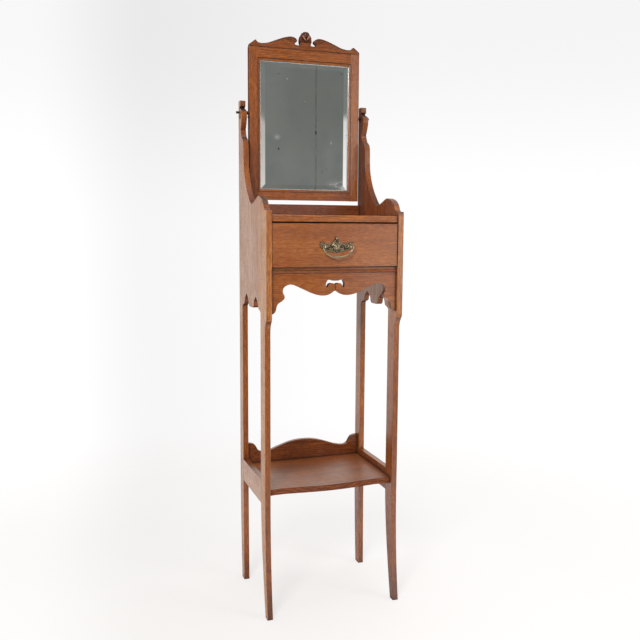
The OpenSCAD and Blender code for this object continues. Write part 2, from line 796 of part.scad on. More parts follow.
module drawer_front() {
    color(OAK) difference() {
        board(box_w, drawer_face - front_t, drawer_face, drawer_z, drawer_top);
        for (side = [-1, 1])
            upright(side * (box_w / 2), 2 * (box_t + joint_gap)) tail_outline(joint_gap);
        drawer_bottom_panel(joint_gap);
        for (side = [-1, 1])
            translate([side * pull_w / 2, y_at(drawer_face + 1), pull_z])
                rotate([-90, 0, 0]) cylinder(d = bolt_hole, h = front_t + 2);
    }
}

module drawer_back() {
    color(POPLAR) drawer_back_board();
}

module drawer_bottom() {
    color(POPLAR) drawer_bottom_panel();
}

// ---- drawer pull ----
// Right half of the winged back plate's outline, from the finial round to the bottom.
function plate_half() = concat(
    [[0, 21]],
    spline([[4, 19.5], [9, 14.5], [15, 10.5], [24, 8], [31, 8], [37, 11], [42, 14],
            [46.5, 13], [48, 8], [47, 2], [43.5, -4], [37, -8], [29, -10],
            [20, -12.5], [10, -15], [0, -16]], 3));

module pull_plate() {
    half = plate_half();
    // centre and radius of each piercing on the right half
    piercings = [[43, 6, 2], [29.5, 4, 2], [22, -3.5, 2.4], [15.5, 5, 2],
                 [12, -6.5, 1.8], [7, 11, 1.6]];
    color(BRASS) difference() {
        translate([0, y_at(drawer_face), pull_z]) rotate([90, 0, 0]) {
            linear_extrude(pullplate_t) difference() {
                polygon(concat(reversed(half), flipped(reversed(half))));
                for (p = piercings, side = [-1, 1])
                    translate([side * p.x, p.y]) circle(r = p.z, $fn = 24);
            }
            translate([0, 23, pullplate_t / 2]) sphere(r = 3.2);
            translate([0, 0, pullplate_t]) cylinder(r1 = 7, r2 = 5, h = 1.6);
        }
        for (side = [-1, 1])
            translate([side * pull_w / 2, y_at(drawer_face + 5), pull_z])
                rotate([-90, 0, 0]) cylinder(d = bolt_hole, h = 6);
        translate([0, y_at(drawer_face) + 4, pull_z + 23]) cube([9, 8, 9], center = true);
    }
}

// Turned posts that carry the bail, each with its bolt through the drawer front.
module pull_posts() {
    bolt_end = front_t + 5;
    color(BRASS) for (side = [-1, 1])
        translate([side * pull_w / 2, y_at(drawer_face), pull_z]) difference() {
            rotate([90, 0, 0]) union() {
                translate([0, 0, pullplate_t]) cylinder(d = 8, h = 1.4);
                translate([0, 0, pullplate_t]) cylinder(d = 5, h = pull_out - pullplate_t);
                translate([0, 0, pull_out]) sphere(d = pullball_d);
                translate([0, 0, -bolt_end]) cylinder(d = bolt_d, h = bolt_end + 2);
            }
            translate([0, -pull_out, 0]) rotate([0, 90, 0])
                cylinder(d = bail_pin_d + 2 * pin_gap, h = 2 * pullball_d, center = true);
        }
}

module pull_nuts() {
    inside = drawer_face - front_t;
    color(BRASS) for (side = [-1, 1])
        translate([side * pull_w / 2, y_at(inside), pull_z]) rotate([-90, 0, 0])
            difference() {
                translate([-4.5, -4.5, 0]) cube([9, 9, 3]);
                translate([0, 0, -1]) cylinder(d = bolt_d, h = 5);
            }
}

// The bail: one bar bent to half an ellipse, thickest in the middle, with a pin at each
// end that turns inward into its post.
module pull_bail() {
    rings = 26;
    sides = 12;
    path = [for (i = [0:rings])
        let (a = -4 + 188 * i / rings)
        [-bail_a * cos(a), -(bail_drop - bail_d / 2) * sin(a)]];
    points = [for (i = [0:rings])
        let (ahead = path[min(i + 1, rings)] - path[max(i - 1, 0)],
             out = [ahead.y, -ahead.x] / norm(ahead),
             swell = pow(sin(180 * i / rings), 1.5),
             r = bail_end_r + (bail_d / 2 - bail_end_r) * swell)
        for (k = [0:sides - 1])
            let (b = 360 * k / sides)
            [path[i].x + r * cos(b) * out.x, r * sin(b), path[i].y + r * cos(b) * out.y]];
    walls = [for (i = [0:rings - 1], k = [0:sides - 1])
        let (n = (k + 1) % sides)
        [i * sides + k, (i + 1) * sides + k, (i + 1) * sides + n, i * sides + n]];
    ends = [[for (k = [0:sides - 1]) k],
            [for (k = [sides - 1:-1:0]) rings * sides + k]];
    pin_l = pullball_d + seat_gap + bail_end_r - 1;
    color(BRASS) translate([0, pull_y, pull_z]) {
        polyhedron(points, concat(walls, ends));
        for (side = [-1, 1])
            translate([side * (bail_a - pin_l / 2), 0, 0]) rotate([0, 90, 0])
                cylinder(d = bail_pin_d, h = pin_l, center = true);
    }
}

front_leg(-1);  // left_front_leg
side_panel(-1);  // left_side_panel
back_post(-1);  // left_back_post
front_leg(1);  // right_front_leg
side_panel(1);  // right_side_panel
back_post(1);  // right_back_post
side_rail(-1);  // left_side_rail
side_rail(1);  // right_side_rail
top_board();
top_gallery();
case_back();
drawer_rail();
front_apron();
runner(-1);  // left_runner
runner(1);  // right_runner
drawer_stops();
apron_blocks();
shelf();
shelf_gallery();
shelf_cleats();
post_plates();
drawer_front();
drawer_side(-1);  // drawer_left_side
drawer_side(1);  // drawer_right_side
drawer_back();
drawer_bottom();
pull_plate();
pull_posts();
pull_nuts();
pull_bail();
mirror_stile(-1);  // mirror_left_stile
mirror_stile(1);  // mirror_right_stile
mirror_top_rail();
mirror_bottom_rail();
mirror_crest();
mirror_glass();
mirror_backboard();
pivot_plates();
pivot_screw(-1);  // left_pivot_screw
pivot_screw(1);  // right_pivot_screw
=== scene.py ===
"""Shaving stand: stained oak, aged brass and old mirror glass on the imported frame."""
import math

import bmesh
import bpy
from mathutils import Matrix, Vector


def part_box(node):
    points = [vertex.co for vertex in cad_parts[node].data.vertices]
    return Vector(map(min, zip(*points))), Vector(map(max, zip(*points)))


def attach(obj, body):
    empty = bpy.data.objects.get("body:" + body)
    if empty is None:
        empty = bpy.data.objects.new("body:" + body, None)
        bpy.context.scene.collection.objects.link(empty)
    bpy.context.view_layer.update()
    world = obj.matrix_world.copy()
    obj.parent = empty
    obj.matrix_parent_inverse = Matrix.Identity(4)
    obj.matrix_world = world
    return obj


# ---- small node helpers ----

VECTORS = ("Place", "Pith", "Normal")    # what the groups pass on as vectors


def feed(tree, socket, value):
    """Links what another node works out, or sets a plain value. A single number fills
    a vector, and a colour gets its alpha."""
    if isinstance(value, bpy.types.NodeSocket):
        tree.links.new(value, socket)
        return
    size = len(socket.default_value) if hasattr(socket.default_value, "__len__") else 0
    if size and not hasattr(value, "__len__"):
        value = (value,) * size
    elif size == 4 and len(value) == 3:
        value = (*value, 1.0)
    socket.default_value = value


def put(tree, kind, inputs=None, **settings):
    """Adds a shader node, sets its options, and fills or links its inputs."""
    made = tree.nodes.new("ShaderNode" + kind)
    for key, value in settings.items():
        setattr(made, key, value)
    for key, value in (inputs or {}).items():
        feed(tree, made.inputs[key], value)
    return made


def calc(tree, operation, *values, clamp=False):
    return put(tree, "Math", dict(enumerate(values)), operation=operation,
               use_clamp=clamp).outputs[0]


def times(tree, one, two):
    return calc(tree, "MULTIPLY", one, two)


def rest_of(tree, value):
    """What a mask leaves of 1."""
    return calc(tree, "SUBTRACT", 1.0, value)


def away_from(tree, value, middle):
    """Distance of a value from a middle, on either side of it."""
    return calc(tree, "ABSOLUTE", calc(tree, "SUBTRACT", value, middle))


def plus(tree, value, *shares):
    """A value and a share of each mask after it, given as (mask, share)."""
    for mask, share in shares:
        value = calc(tree, "ADD", value, times(tree, mask, share))
    return value


def along(tree, operation, *values):
    made = put(tree, "VectorMath", dict(enumerate(values)), operation=operation)
    return made.outputs["Value" if operation in ("LENGTH", "DOT_PRODUCT") else "Vector"]


def stretched(tree, place, x, y, z):
    return along(tree, "MULTIPLY", place, (x, y, z))


def scaled(tree, vector, factor):
    return put(tree, "VectorMath", {0: vector, "Scale": factor},
               operation="SCALE").outputs["Vector"]


def rotated(tree, vector, angle, axis):
    return put(tree, "VectorRotate", {"Vector": vector, "Angle": angle,
               "Axis": axis}, rotation_type="AXIS_ANGLE").outputs[0]


def axes_of(tree, vector):
    """A vector's X, Y and Z."""
    return put(tree, "SeparateXYZ", {0: vector}).outputs


def object_place(tree):
    return put(tree, "TexCoord").outputs["Object"]


def outward_of(tree):
    """Which way the surface faces, on the object itself."""
    return put(tree, "TexCoord").outputs["Normal"]


def ramped(tree, value, low, high, to_low=0.0, to_high=1.0):
    """A smooth rise, or fall, of a value between two places."""
    return put(tree, "MapRange", {"Value": value, "From Min": low, "From Max": high,
               "To Min": to_low, "To Max": to_high},
               interpolation_type="SMOOTHSTEP").outputs["Result"]


def between(tree, value, rise, fall):
    """1 from the end of the rise to the end of the fall, and 0 outside both."""
    return times(tree, ramped(tree, value, *rise), ramped(tree, value, *fall))


def noise(tree, place, scale, detail=2.0, roughness=0.5, distortion=0.0):
    return put(tree, "TexNoise", {"Vector": place, "Scale": scale, "Detail": detail,
               "Roughness": roughness, "Distortion": distortion}).outputs["Fac"]


def tint(tree, amount, under, over, mode="MIX"):
    """One colour over another, by an amount from 0 to 1."""
    return put(tree, "Mix", {0: amount, 6: under, 7: over}, data_type="RGBA",
               blend_type=mode).outputs[2]


def washed(tree, under, mask, share, over):
    """A colour with another over it by a share of a mask."""
    return tint(tree, times(tree, mask, share), under, over)


def bumped(tree, height, normal, strength, distance):
    return put(tree, "Bump", {"Strength": strength, "Distance": distance,
               "Height": height, "Normal": normal}).outputs[0]


def wire(tree, target, **sockets):
    """Fills the inputs of a shader or a group; _ stands for a space in their names."""
    for key, value in sockets.items():
        feed(tree, target.inputs[key.replace("_", " ")], value)


def new_group(name, ins, outs):
    """An empty node group with named inputs and outputs, and its two end nodes."""
    tree = bpy.data.node_groups.new(name, "ShaderNodeTree")
    for way, labels in (("INPUT", ins), ("OUTPUT", outs)):
        for label in labels:
            kind = "Vector" if label in VECTORS else "Float"
            tree.interface.new_socket(name=label, in_out=way,
                                      socket_type="NodeSocket" + kind)
    return tree, tree.nodes.new("NodeGroupInput").outputs, tree.nodes.new("NodeGroupOutput")


def use(tree, group, **inputs):
    """Puts a node group to use and gives its outputs."""
    made = put(tree, "Group", node_tree=group)
    wire(tree, made, **inputs)
    return made.outputs


def mixed(tree, share, one, two):
    """A shader that is one at share 0 and two at share 1."""
    return put(tree, "MixShader", {0: share, 1: one.outputs[0], 2: two.outputs[0]})


def empty_tree(owner):
    """The emptied node tree of a material or a world."""
    owner.use_nodes = True
    owner.node_tree.nodes.clear()
    return owner.node_tree


def show(tree, shader, kind="Material"):
    """Makes a shader the one that is seen."""
    put(tree, "Output" + kind, {"Surface": shader.outputs[0]})


# ---- shared effects ----


def shifted(tree, given, step):
    """The place moved by the seed times a step, so that no two boards match."""
    return along(tree, "ADD", given["Place"], scaled(tree, step, given["Seed"]))


def oak_grain_group():
    """Growth rings round a pith beside the board, fibres, pores and silky flecks.
    Place runs along the grain on its Z."""
    tree, given, end = new_group(
        "oak_grain", ("Place", "Seed", "Pith", "Ring Width", "Wander"),
        ("Rings", "Fibres", "Pores", "Flecks", "Ticks", "Shade", "Height"))
    place = shifted(tree, given, (3.71, 1.93, 5.37))

    drift = put(tree, "TexNoise",
                {"Vector": stretched(tree, place, 7, 7, 1.6), "Scale": 1.0, "Detail": 3.0})
    drift = along(tree, "SUBTRACT", drift.outputs["Color"], (0.5, 0.5, 0.5))
    bent = scaled(tree, drift, given["Wander"])
    from_pith = along(tree, "SUBTRACT", given["Place"], given["Pith"])
    from_pith = stretched(tree, along(tree, "ADD", from_pith, bent), 1, 1, 0)
    turns = calc(tree, "DIVIDE", along(tree, "LENGTH", from_pith), given["Ring Width"])
    rings = between(tree, calc(tree, "FRACT", turns), (0.0, 0.12), (0.9, 0.12))

    fibres = noise(tree, stretched(tree, place, 190, 190, 11), 1.0, 5.0, 0.66)
    fine = noise(tree, stretched(tree, place, 1500, 1500, 42), 1.0, 1.0)
    pores = ramped(tree, calc(tree, "MULTIPLY_ADD", rings, 0.14, fine), 0.60, 0.72)
    silk = noise(tree, stretched(tree, place, 330, 330, 26), 1.0, 2.0, 0.6, 0.3)
    ticks = noise(tree, stretched(tree, place, 340, 340, 62), 1.0, 3.0, 0.6)
    shade = noise(tree, stretched(tree, place, 22, 22, 2.2), 1.0, 3.0, 0.55)
    wire(tree, end, Rings=rings, Fibres=fibres, Pores=pores,
         Flecks=ramped(tree, silk, 0.56, 0.74), Ticks=ticks, Shade=shade,
         Height=plus(tree, times(tree, fibres, 0.35), (pores, -0.65)))
    return tree


def rounded_edges_group():
    """Rounded-over edges: where they are, and the normal that turns round them."""
    tree, given, end = new_group("rounded_edges", ("Radius", "Place", "Patchiness"),
                                 ("Wear", "Normal"))
    bevel = put(tree, "Bevel", {"Radius": given["Radius"]}, samples=6)
    flat = put(tree, "NewGeometry").outputs["Normal"]
    turn = along(tree, "DOT_PRODUCT", bevel.outputs["Normal"], flat)
    edge = ramped(tree, turn, 0.995, 0.80)
    patches = ramped(tree, noise(tree, given["Place"], 60.0, 4.0, 0.6), 0.30, 0.62)
    kept = rest_of(tree, times(tree, given["Patchiness"], rest_of(tree, patches)))
    wire(tree, end, Wear=times(tree, edge, kept), Normal=bevel.outputs["Normal"])
    return tree


def dirt_and_shade_group():
    """Dark wax and dust that has settled in corners, and painted shade there."""
    tree, given, end = new_group("dirt_and_shade", ("Reach", "Place"), ("Dirt",))
    corner = put(tree, "AmbientOcclusion", {"Distance": given["Reach"]},
                 samples=6).outputs["AO"]
    open_to = plus(tree, corner, (noise(tree, given["Place"], 90.0, 3.0, 0.6), 0.16))
    wire(tree, end, Dirt=ramped(tree, open_to, 0.96, 0.50))
    return tree


def handling_group():
    """Smears in the polish and fine scratches across it."""
    tree, given, end = new_group("handling", ("Place", "Seed"), ("Smears", "Scratches"))
    place = shifted(tree, given, (0.91, 2.17, 1.33))
    turned_place = rotated(tree, place, 0.7, (0.3, 0.5, 0.8))
    lines = noise(tree, stretched(tree, turned_place, 900, 900, 16), 1.0, 1.0)
    wire(tree, end, Smears=noise(tree, place, 14.0, 4.0, 0.62, 0.8),
         Scratches=ramped(tree, lines, 0.70, 0.78))
    return tree


GRAIN = oak_grain_group()
EDGE = rounded_edges_group()
DIRT_AND_SHADE = dirt_and_shade_group()
HANDLING = handling_group()

# ---- materials ----

# Stops of the stain from pale to nearly black, as (tone, colour).
STAIN = ((0.00, (0.590, 0.255, 0.085)), (0.17, (0.450, 0.152, 0.033)),
         (0.42, (0.302, 0.080, 0.012)), (0.74, (0.150, 0.032, 0.005)),
         (1.00, (0.045, 0.010, 0.004)))
OAK_WORN = (0.470, 0.200, 0.075)
# Bare pale oak where the stain is lost, also the colour of painted highlights on arrises and
# beads.
OAK_BARE_AND_HIGHLIGHT = (0.620, 0.370, 0.200)
OAK_FLECK = (0.50, 0.180, 0.040)
OAK_PORE = (0.085, 0.026, 0.010)
# Dark grime, and the colour of painted shade in corners, on edges and along the moulding's
# step.
OAK_DIRT_AND_SHADE = (0.026, 0.009, 0.005)


def new_material(name):
    material = bpy.data.materials.new(name)
    tree = empty_tree(material)
    shader = put(tree, "BsdfPrincipled")
    show(tree, shader)
    return material, tree, shader


def grain_place(tree, runs):
    """Object coordinates, and the same turned so that the grain runs along Z."""
    at = object_place(tree)
    split = axes_of(tree, at)
    order = {"z": (0, 1, 2), "x": (2, 1, 0), "y": (0, 2, 1)}[runs]
    turned_place = put(tree, "CombineXYZ", {i: split[k] for i, k in enumerate(order)})
    return at, turned_place.outputs[0]


def from_glass_sides(tree, at, reach=0.0):
    """How far a place lies outside the glass, or a reach beyond it: across and upward."""
    low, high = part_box("mirror_glass")
    split = axes_of(tree, at)
    across = calc(tree, "SUBTRACT", calc(tree, "ABSOLUTE", split["X"]), high.x + reach)
    middle, half = (low.z + high.z) / 2, (high.z - low.z) / 2
    upward = calc(tree, "SUBTRACT", away_from(tree, split["Z"], middle), half + reach)
    return across, upward


def quirk_shade_line(tree, at):
    """Painted shade along the step round the mirror's moulding strip."""
    to_step = 0.0012                     # from the glass's hidden rim
    from_line = calc(tree, "MAXIMUM", *from_glass_sides(tree, at, to_step))
    return ramped(tree, calc(tree, "ABSOLUTE", from_line), 0.0022, 0.0004)


def end_grain(tree, runs):
    """1 where a cut crosses the grain, which drinks more stain, and 0 along it."""
    facing = axes_of(tree, outward_of(tree))["xyz".index(runs)]
    return ramped(tree, calc(tree, "ABSOLUTE", facing), 0.30, 0.85)


def face_towards(tree, axis, way):
    """1 on the faces that look along an axis, one way or the other, and 0 elsewhere."""
    facing = axes_of(tree, outward_of(tree))["xyz".index(axis)]
    return ramped(tree, times(tree, facing, way), 0.5, 0.9)


def stained(tree, tone):
    """The stain's colour at a tone from 0, pale, to 1, nearly black."""
    ramp = put(tree, "ValToRGB", {0: tone})
    stops = ramp.color_ramp.elements
    for _ in STAIN[2:]:
        stops.new(0.5)
    for stop, (place, colour) in zip(stops, STAIN):
        stop.position, stop.color = place, (*colour, 1.0)
    return ramp.outputs["Color"]


def colour_depth(tree, height, left, deepness, deepens, left_face_light, dull_and_shaded, shaded_top):
    """How much deeper than plain oak a board's colour is, with painted light and shade on some
    faces, and where it has lost polish.
    """
    added, dulled_and_shaded = 0.0, 0.0
    for start, end, extra in deepens:
        added = calc(tree, "ADD", ramped(tree, height, start, end, 0, extra), added)
    # Faces that look left: painted paler as light for a share above 0 and darker as shade
    # below 0; the darkening by height hardly reaches them.
    if left_face_light:
        hardly = calc(tree, "MULTIPLY_ADD", left, -0.85, 1.0)
        added = times(tree, added, hardly)
    added = calc(tree, "MULTIPLY_ADD", left, -left_face_light, added)
    depth = calc(tree, "ADD", deepness, added)
    # Faces that look one way from a height up: painted darker as shade, and less polished.
    if dull_and_shaded:
        axis, way, above, shade_depth = dull_and_shaded
        dulled_and_shaded = times(tree, face_towards(tree, axis, way),
                       ramped(tree, height, above, above + 0.03))
        depth = plus(tree, depth, (dulled_and_shaded, calc(tree, "SUBTRACT", shade_depth, depth)))
    # Upward faces painted darker, a painted dark reflection.
    if shaded_top:
        depth = plus(tree, depth, (face_towards(tree, "z", 1), shaded_top))
    return depth, dulled_and_shaded


def oak_tone(tree, grain, crosscut, depth, figure, bold):
    """The stain's tone from the rings, the fibres and what lies across them."""
    tone = calc(tree, "MULTIPLY_ADD", grain["Rings"], figure, 0.41 - 0.4 * figure)
    for part, low, high, paler, deeper in (
            ("Fibres", 0.28, 0.74, -0.11 * bold, 0.11 * bold),
            ("Ticks", 0.30, 0.72, -0.12, 0.16), ("Shade", 0.25, 0.78, -0.10, 0.10)):
        tone = calc(tree, "ADD", tone, ramped(tree, grain[part], low, high, paler, deeper))
    return calc(tree, "ADD", plus(tree, tone, (crosscut, 0.42)), depth, clamp=True)


def joint_line(tree, height, joint_at, smears):
    """A thin, broken line of dirt in the joint at a height."""
    return times(tree, ramped(tree, away_from(tree, height, joint_at), 0.0015, 0.0005),
                 ramped(tree, smears, 0.25, 0.55, 0.25, 0.70))


def surface(tree, at, rounding, patchiness, dirt_shade_reach):
    """Where the rounded edges are, patchily, the normal that turns round them, and where grime
    and painted shade lie in corners.
    """
    edge = use(tree, EDGE, Radius=rounding, Place=at, Patchiness=patchiness)
    dirt_shade = use(tree, DIRT_AND_SHADE, Reach=dirt_shade_reach, Place=at)
    return edge["Wear"], edge["Normal"], dirt_shade["Dirt"]


def oak(name, runs, seed, pith, deepness=0.0, ring=0.0034, gloss=0.27, rounding=0.0016,
        figure=0.16, edge_shade=0.0, paling=0.45, dirt_shade_reach=0.012, deepens=(),
        quirk_shade=False, joint_at=None, shine=0.36, coat=0.50, coat_rough=0.12,
        dull_and_shaded=None, left_face_light=0.0, left_polish=1.0, shaded_top=0.0, bold=1.0, silky=0.22,
        paling_colour=OAK_WORN):
    """Stained oak under old polish; the grain runs along the axis given by runs.
    Deepness darkens a board that the light or the polish left darker, and deepens adds
    to it between two heights, but hardly on the face that looks left where that face is
    painted lighter or darker: paler as light for a share above 0, and darker as shade
    below 0. Dark edges hold old varnish and painted shade instead of being paled; the
    paling is lost stain, and a painted highlight where it is strong. A painted shade can
    follow the step of the mirror's moulding. Faces that lost their polish are painted
    darker as shade, given by along which axis they look and which way, from what height
    up, and how deep their colour is. Upward faces can be painted darker as a dark
    reflection. Left polish is the share of it that is still on the faces that look left.
    Bold and silky are how strongly the grain and its pale flecks show."""
    material, tree, shader = new_material(name)
    at, place = grain_place(tree, runs)
    grain = use(tree, GRAIN, Place=place, Seed=seed, Pith=pith, Ring_Width=ring,
                Wander=0.02)
    edge_band, normal, dirt_shade = surface(tree, at, rounding, 0.7, dirt_shade_reach)
    handled = use(tree, HANDLING, Place=at, Seed=seed)
    height = axes_of(tree, at)["Z"]
    left = face_towards(tree, "x", -1)
    crosscut = end_grain(tree, runs)
    depth, dulled_and_shaded = colour_depth(tree, height, left, deepness, deepens, left_face_light, dull_and_shaded,
                                 shaded_top)
    stain = stained(tree, oak_tone(tree, grain, crosscut, depth, figure, bold))
    stain = washed(tree, stain, grain["Flecks"], silky, OAK_FLECK)
    stain = washed(tree, stain, grain["Pores"], 0.55 * bold, OAK_PORE)
    # Rounded edges: dark with old varnish and painted shade, or else paler where the stain is
    # lost, with a painted highlight on some boards.
    if edge_shade:
        stain = washed(tree, stain, edge_band, edge_shade, OAK_DIRT_AND_SHADE)
    else:
        stain = washed(tree, stain, edge_band, paling, paling_colour)
    # Painted shade along the step of the mirror's moulding.
    if quirk_shade:
        stain = washed(tree, stain, quirk_shade_line(tree, at), 0.75, OAK_DIRT_AND_SHADE)
    if joint_at:
        line = joint_line(tree, height, joint_at, handled["Smears"])
        stain = tint(tree, line, stain, OAK_DIRT_AND_SHADE)
    # Grime and painted shade in the corners.
    stain = washed(tree, stain, dirt_shade, 0.88, OAK_DIRT_AND_SHADE)
    rough = ramped(tree, handled["Smears"], 0.25, 0.8, gloss - 0.07, gloss + 0.16)
    rough = plus(tree, rough, (grain["Pores"], 0.18), (dirt_shade, 0.20), (dulled_and_shaded, 0.40),
                 (crosscut, 0.26), (edge_band, 0.3 * edge_shade))
    polish = plus(tree, coat, (edge_band, -0.3 - 0.6 * edge_shade), (dirt_shade, -0.35),
                  (crosscut, -0.65))
    polish = times(tree, calc(tree, "SUBTRACT", polish, dulled_and_shaded, clamp=True),
                   calc(tree, "MULTIPLY_ADD", left, left_polish - 1.0, 1.0))
    relief = plus(tree, grain["Height"], (handled["Scratches"], -0.3))
    wire(tree, shader, Base_Color=stain, Roughness=rough, Specular_IOR_Level=shine,
         Normal=bumped(tree, relief, normal, 0.30, 0.0004),
         Coat_Weight=polish, Coat_Roughness=coat_rough)
    return material


def bare_wood(name, runs, seed, tone):
    """Planed, unpolished wood inside the case, grey-brown with age."""
    material, tree, shader = new_material(name)
    at, place = grain_place(tree, runs)
    grain = use(tree, GRAIN, Place=place, Seed=seed, Pith=(0.05, 0.04, 0.0),
                Ring_Width=0.0045, Wander=0.03)
    edge_band, normal, dirt_shade = surface(tree, at, 0.0012, 0.8, 0.02)
    handled = use(tree, HANDLING, Place=at, Seed=seed)
    light = tuple(c * tone for c in (0.60, 0.34, 0.165))
    dark = tuple(c * tone for c in (0.40, 0.185, 0.075))
    smeared = tuple(c * 0.55 for c in light)
    mix = calc(tree, "ADD", times(tree, grain["Rings"], 0.4),
               ramped(tree, grain["Fibres"], 0.3, 0.75, 0.0, 0.6), clamp=True)
    wood = tint(tree, mix, light, dark)
    wood = tint(tree, ramped(tree, handled["Smears"], 0.42, 0.8, 0.0, 0.5), wood, smeared)
    wood = washed(tree, wood, edge_band, 0.35, (0.6, 0.46, 0.3))
    # Grime and painted shade in the corners.
    wood = washed(tree, wood, dirt_shade, 0.8, (0.06, 0.04, 0.025))
    wire(tree, shader, Base_Color=wood,
         Roughness=ramped(tree, grain["Fibres"], 0.2, 0.8, 0.62, 0.82),
         Normal=bumped(tree, grain["Height"], normal, 0.5, 0.0005))
    return material


def aged_brass(name, low=(0.34, 0.265, 0.155), high=(0.60, 0.490, 0.320), paling=0.8):
    """Cast brass: brown-black in its hollows, polished bright where hands reach."""
    material, tree, shader = new_material(name)
    at = object_place(tree)
    edge_band, normal, dirt_shade = surface(tree, at, 0.0011, 0.35, 0.005)
    handled = use(tree, HANDLING, Place=at, Seed=3.0)
    mottle = noise(tree, at, 420.0, 4.0, 0.65)
    metal = tint(tree, ramped(tree, mottle, 0.3, 0.7), low, high)
    metal = washed(tree, metal, edge_band, paling, (0.86, 0.76, 0.54))
    metal = washed(tree, metal, dirt_shade, 0.95, (0.030, 0.022, 0.014))
    rough = ramped(tree, handled["Smears"], 0.2, 0.8, 0.27, 0.46)
    wire(tree, shader, Base_Color=metal, Metallic=rest_of(tree, times(tree, dirt_shade, 0.6)),
         Roughness=plus(tree, rough, (dirt_shade, 0.35), (edge_band, -0.10)),
         Normal=bumped(tree, mottle, normal, 0.35, 0.0003))
    return material


def dull_steel(name):
    """Screw steel with a little brown rust."""
    material, tree, shader = new_material(name)
    at = object_place(tree)
    edge_band, normal, dirt_shade = surface(tree, at, 0.0006, 0.3, 0.003)
    rust = ramped(tree, noise(tree, at, 700.0, 4.0, 0.6), 0.46, 0.66)
    metal = tint(tree, rust, (0.26, 0.25, 0.24), (0.16, 0.085, 0.045))
    metal = washed(tree, metal, edge_band, 0.7, (0.55, 0.54, 0.52))
    # Grime and painted shade in the corners.
    metal = washed(tree, metal, dirt_shade, 0.85, (0.03, 0.022, 0.016))
    wire(tree, shader, Base_Color=metal, Metallic=0.85,
         Roughness=ramped(tree, rust, 0.0, 1.0, 0.34, 0.72),
         Normal=bumped(tree, rust, normal, 0.3, 0.0002))
    return material


# Blemishes of the glass: x and z of the middle, reach across and up, and strength.
DARK_MARKS = ((-0.0824, 1.3307, 0.0030, 0.0048, 0.95), (0.1153, 1.5623, 0.0034, 0.0034, 0.6),
              (0.0352, 1.3830, 0.0036, 0.0080, 0.8), (0.0350, 1.4020, 0.0022, 0.0070, 0.4),
              (-0.0815, 1.5500, 0.0045, 0.0034, 0.25), (0.0560, 1.2659, 0.0018, 0.0060, 0.35),
              (0.0705, 1.2740, 0.0022, 0.0045, 0.3))
PALE_MARKS = ((-0.0877, 1.3652, 0.0150, 0.0120, 0.16), (-0.0877, 1.3652, 0.0040, 0.0036, 0.34),
              (-0.0557, 1.5371, 0.0036, 0.0034, 0.26), (0.0846, 1.3544, 0.0036, 0.0095, 0.22),
              (0.0900, 1.2300, 0.0300, 0.0160, 0.08), (-0.0560, 1.4750, 0.0030, 0.0016, 0.15),
              (-0.0500, 1.2900, 0.0500, 0.0900, 0.02), (0.0800, 1.3100, 0.0300, 0.1000, 0.03))
SCUFFED = (0.112, 1.228, 0.040, 0.019)
CRISP = 0.45                             # where a mark with a clear edge is full


def mark(tree, at, x, z, across, up, ragged, crisp=CRISP):
    """A blemish in the silvering round one place, from its edge, 0, to its middle, 1."""
    off = stretched(tree, along(tree, "SUBTRACT", at, (x, 0, z)), 1 / across, 0, 1 / up)
    uneven = times(tree, calc(tree, "SUBTRACT", ragged, 0.5), 0.7 + 2 * crisp)
    reach = calc(tree, "ADD", along(tree, "LENGTH", off), uneven)
    return ramped(tree, reach, 1.0, crisp)


def marks(tree, at, places, ragged, crisp):
    """All blemishes of a kind, the strongest of them where they meet."""
    strongest = 0.0
    for *place, share in places:
        spotted = times(tree, mark(tree, at, *place, ragged, crisp), share)
        strongest = calc(tree, "MAXIMUM", spotted, strongest)
    return strongest


def pin_specks(tree, at):
    """Sparse black specks in the silvering."""
    specks = put(tree, "TexVoronoi", {"Vector": at, "Scale": 70.0, "Randomness": 1.0})
    pick = put(tree, "SeparateColor", {0: specks.outputs["Color"]}).outputs[0]
    size = ramped(tree, pick, 0.93, 1.0, 0.0, 0.13)
    return calc(tree, "LESS_THAN", specks.outputs["Distance"], size)


def silver_seam(tree, at):
    """A faint upright streak that wanders left of the glass's middle."""
    wander = noise(tree, stretched(tree, at, 0, 0, 9), 1.0, 4.0, 0.65)
    wander = calc(tree, "MULTIPLY_ADD", wander, 0.007, -0.0390)
    off = calc(tree, "ABSOLUTE", calc(tree, "ADD", axes_of(tree, at)["X"], wander))
    return times(tree, ramped(tree, off, 0.0048, 0.0008),
                 ramped(tree, noise(tree, at, 34.0, 4.0, 0.7), 0.34, 0.62, 0.25, 1.0))


def corner_scuffs(tree, at, cloud):
    """Slanting scuffs in the glass's lower right corner."""
    slanted = rotated(tree, at, 0.45, (0, 1, 0))
    scuffs = noise(tree, stretched(tree, slanted, 55, 0, 700), 1.0, 2.0, 0.6)
    return times(tree, ramped(tree, scuffs, 0.56, 0.68), mark(tree, at, *SCUFFED, cloud))


def through_glass(tree):
    """Light goes through the glass to the silver behind it and back, so a ground bevel
    turns it about half as far as its slope, and the other way."""
    bent = 0.52
    through = stretched(tree, outward_of(tree), -bent, 1.0, -bent)
    return put(tree, "VectorTransform", {0: along(tree, "NORMALIZE", through)},
               vector_type="NORMAL", convert_from="OBJECT", convert_to="WORLD").outputs[0]


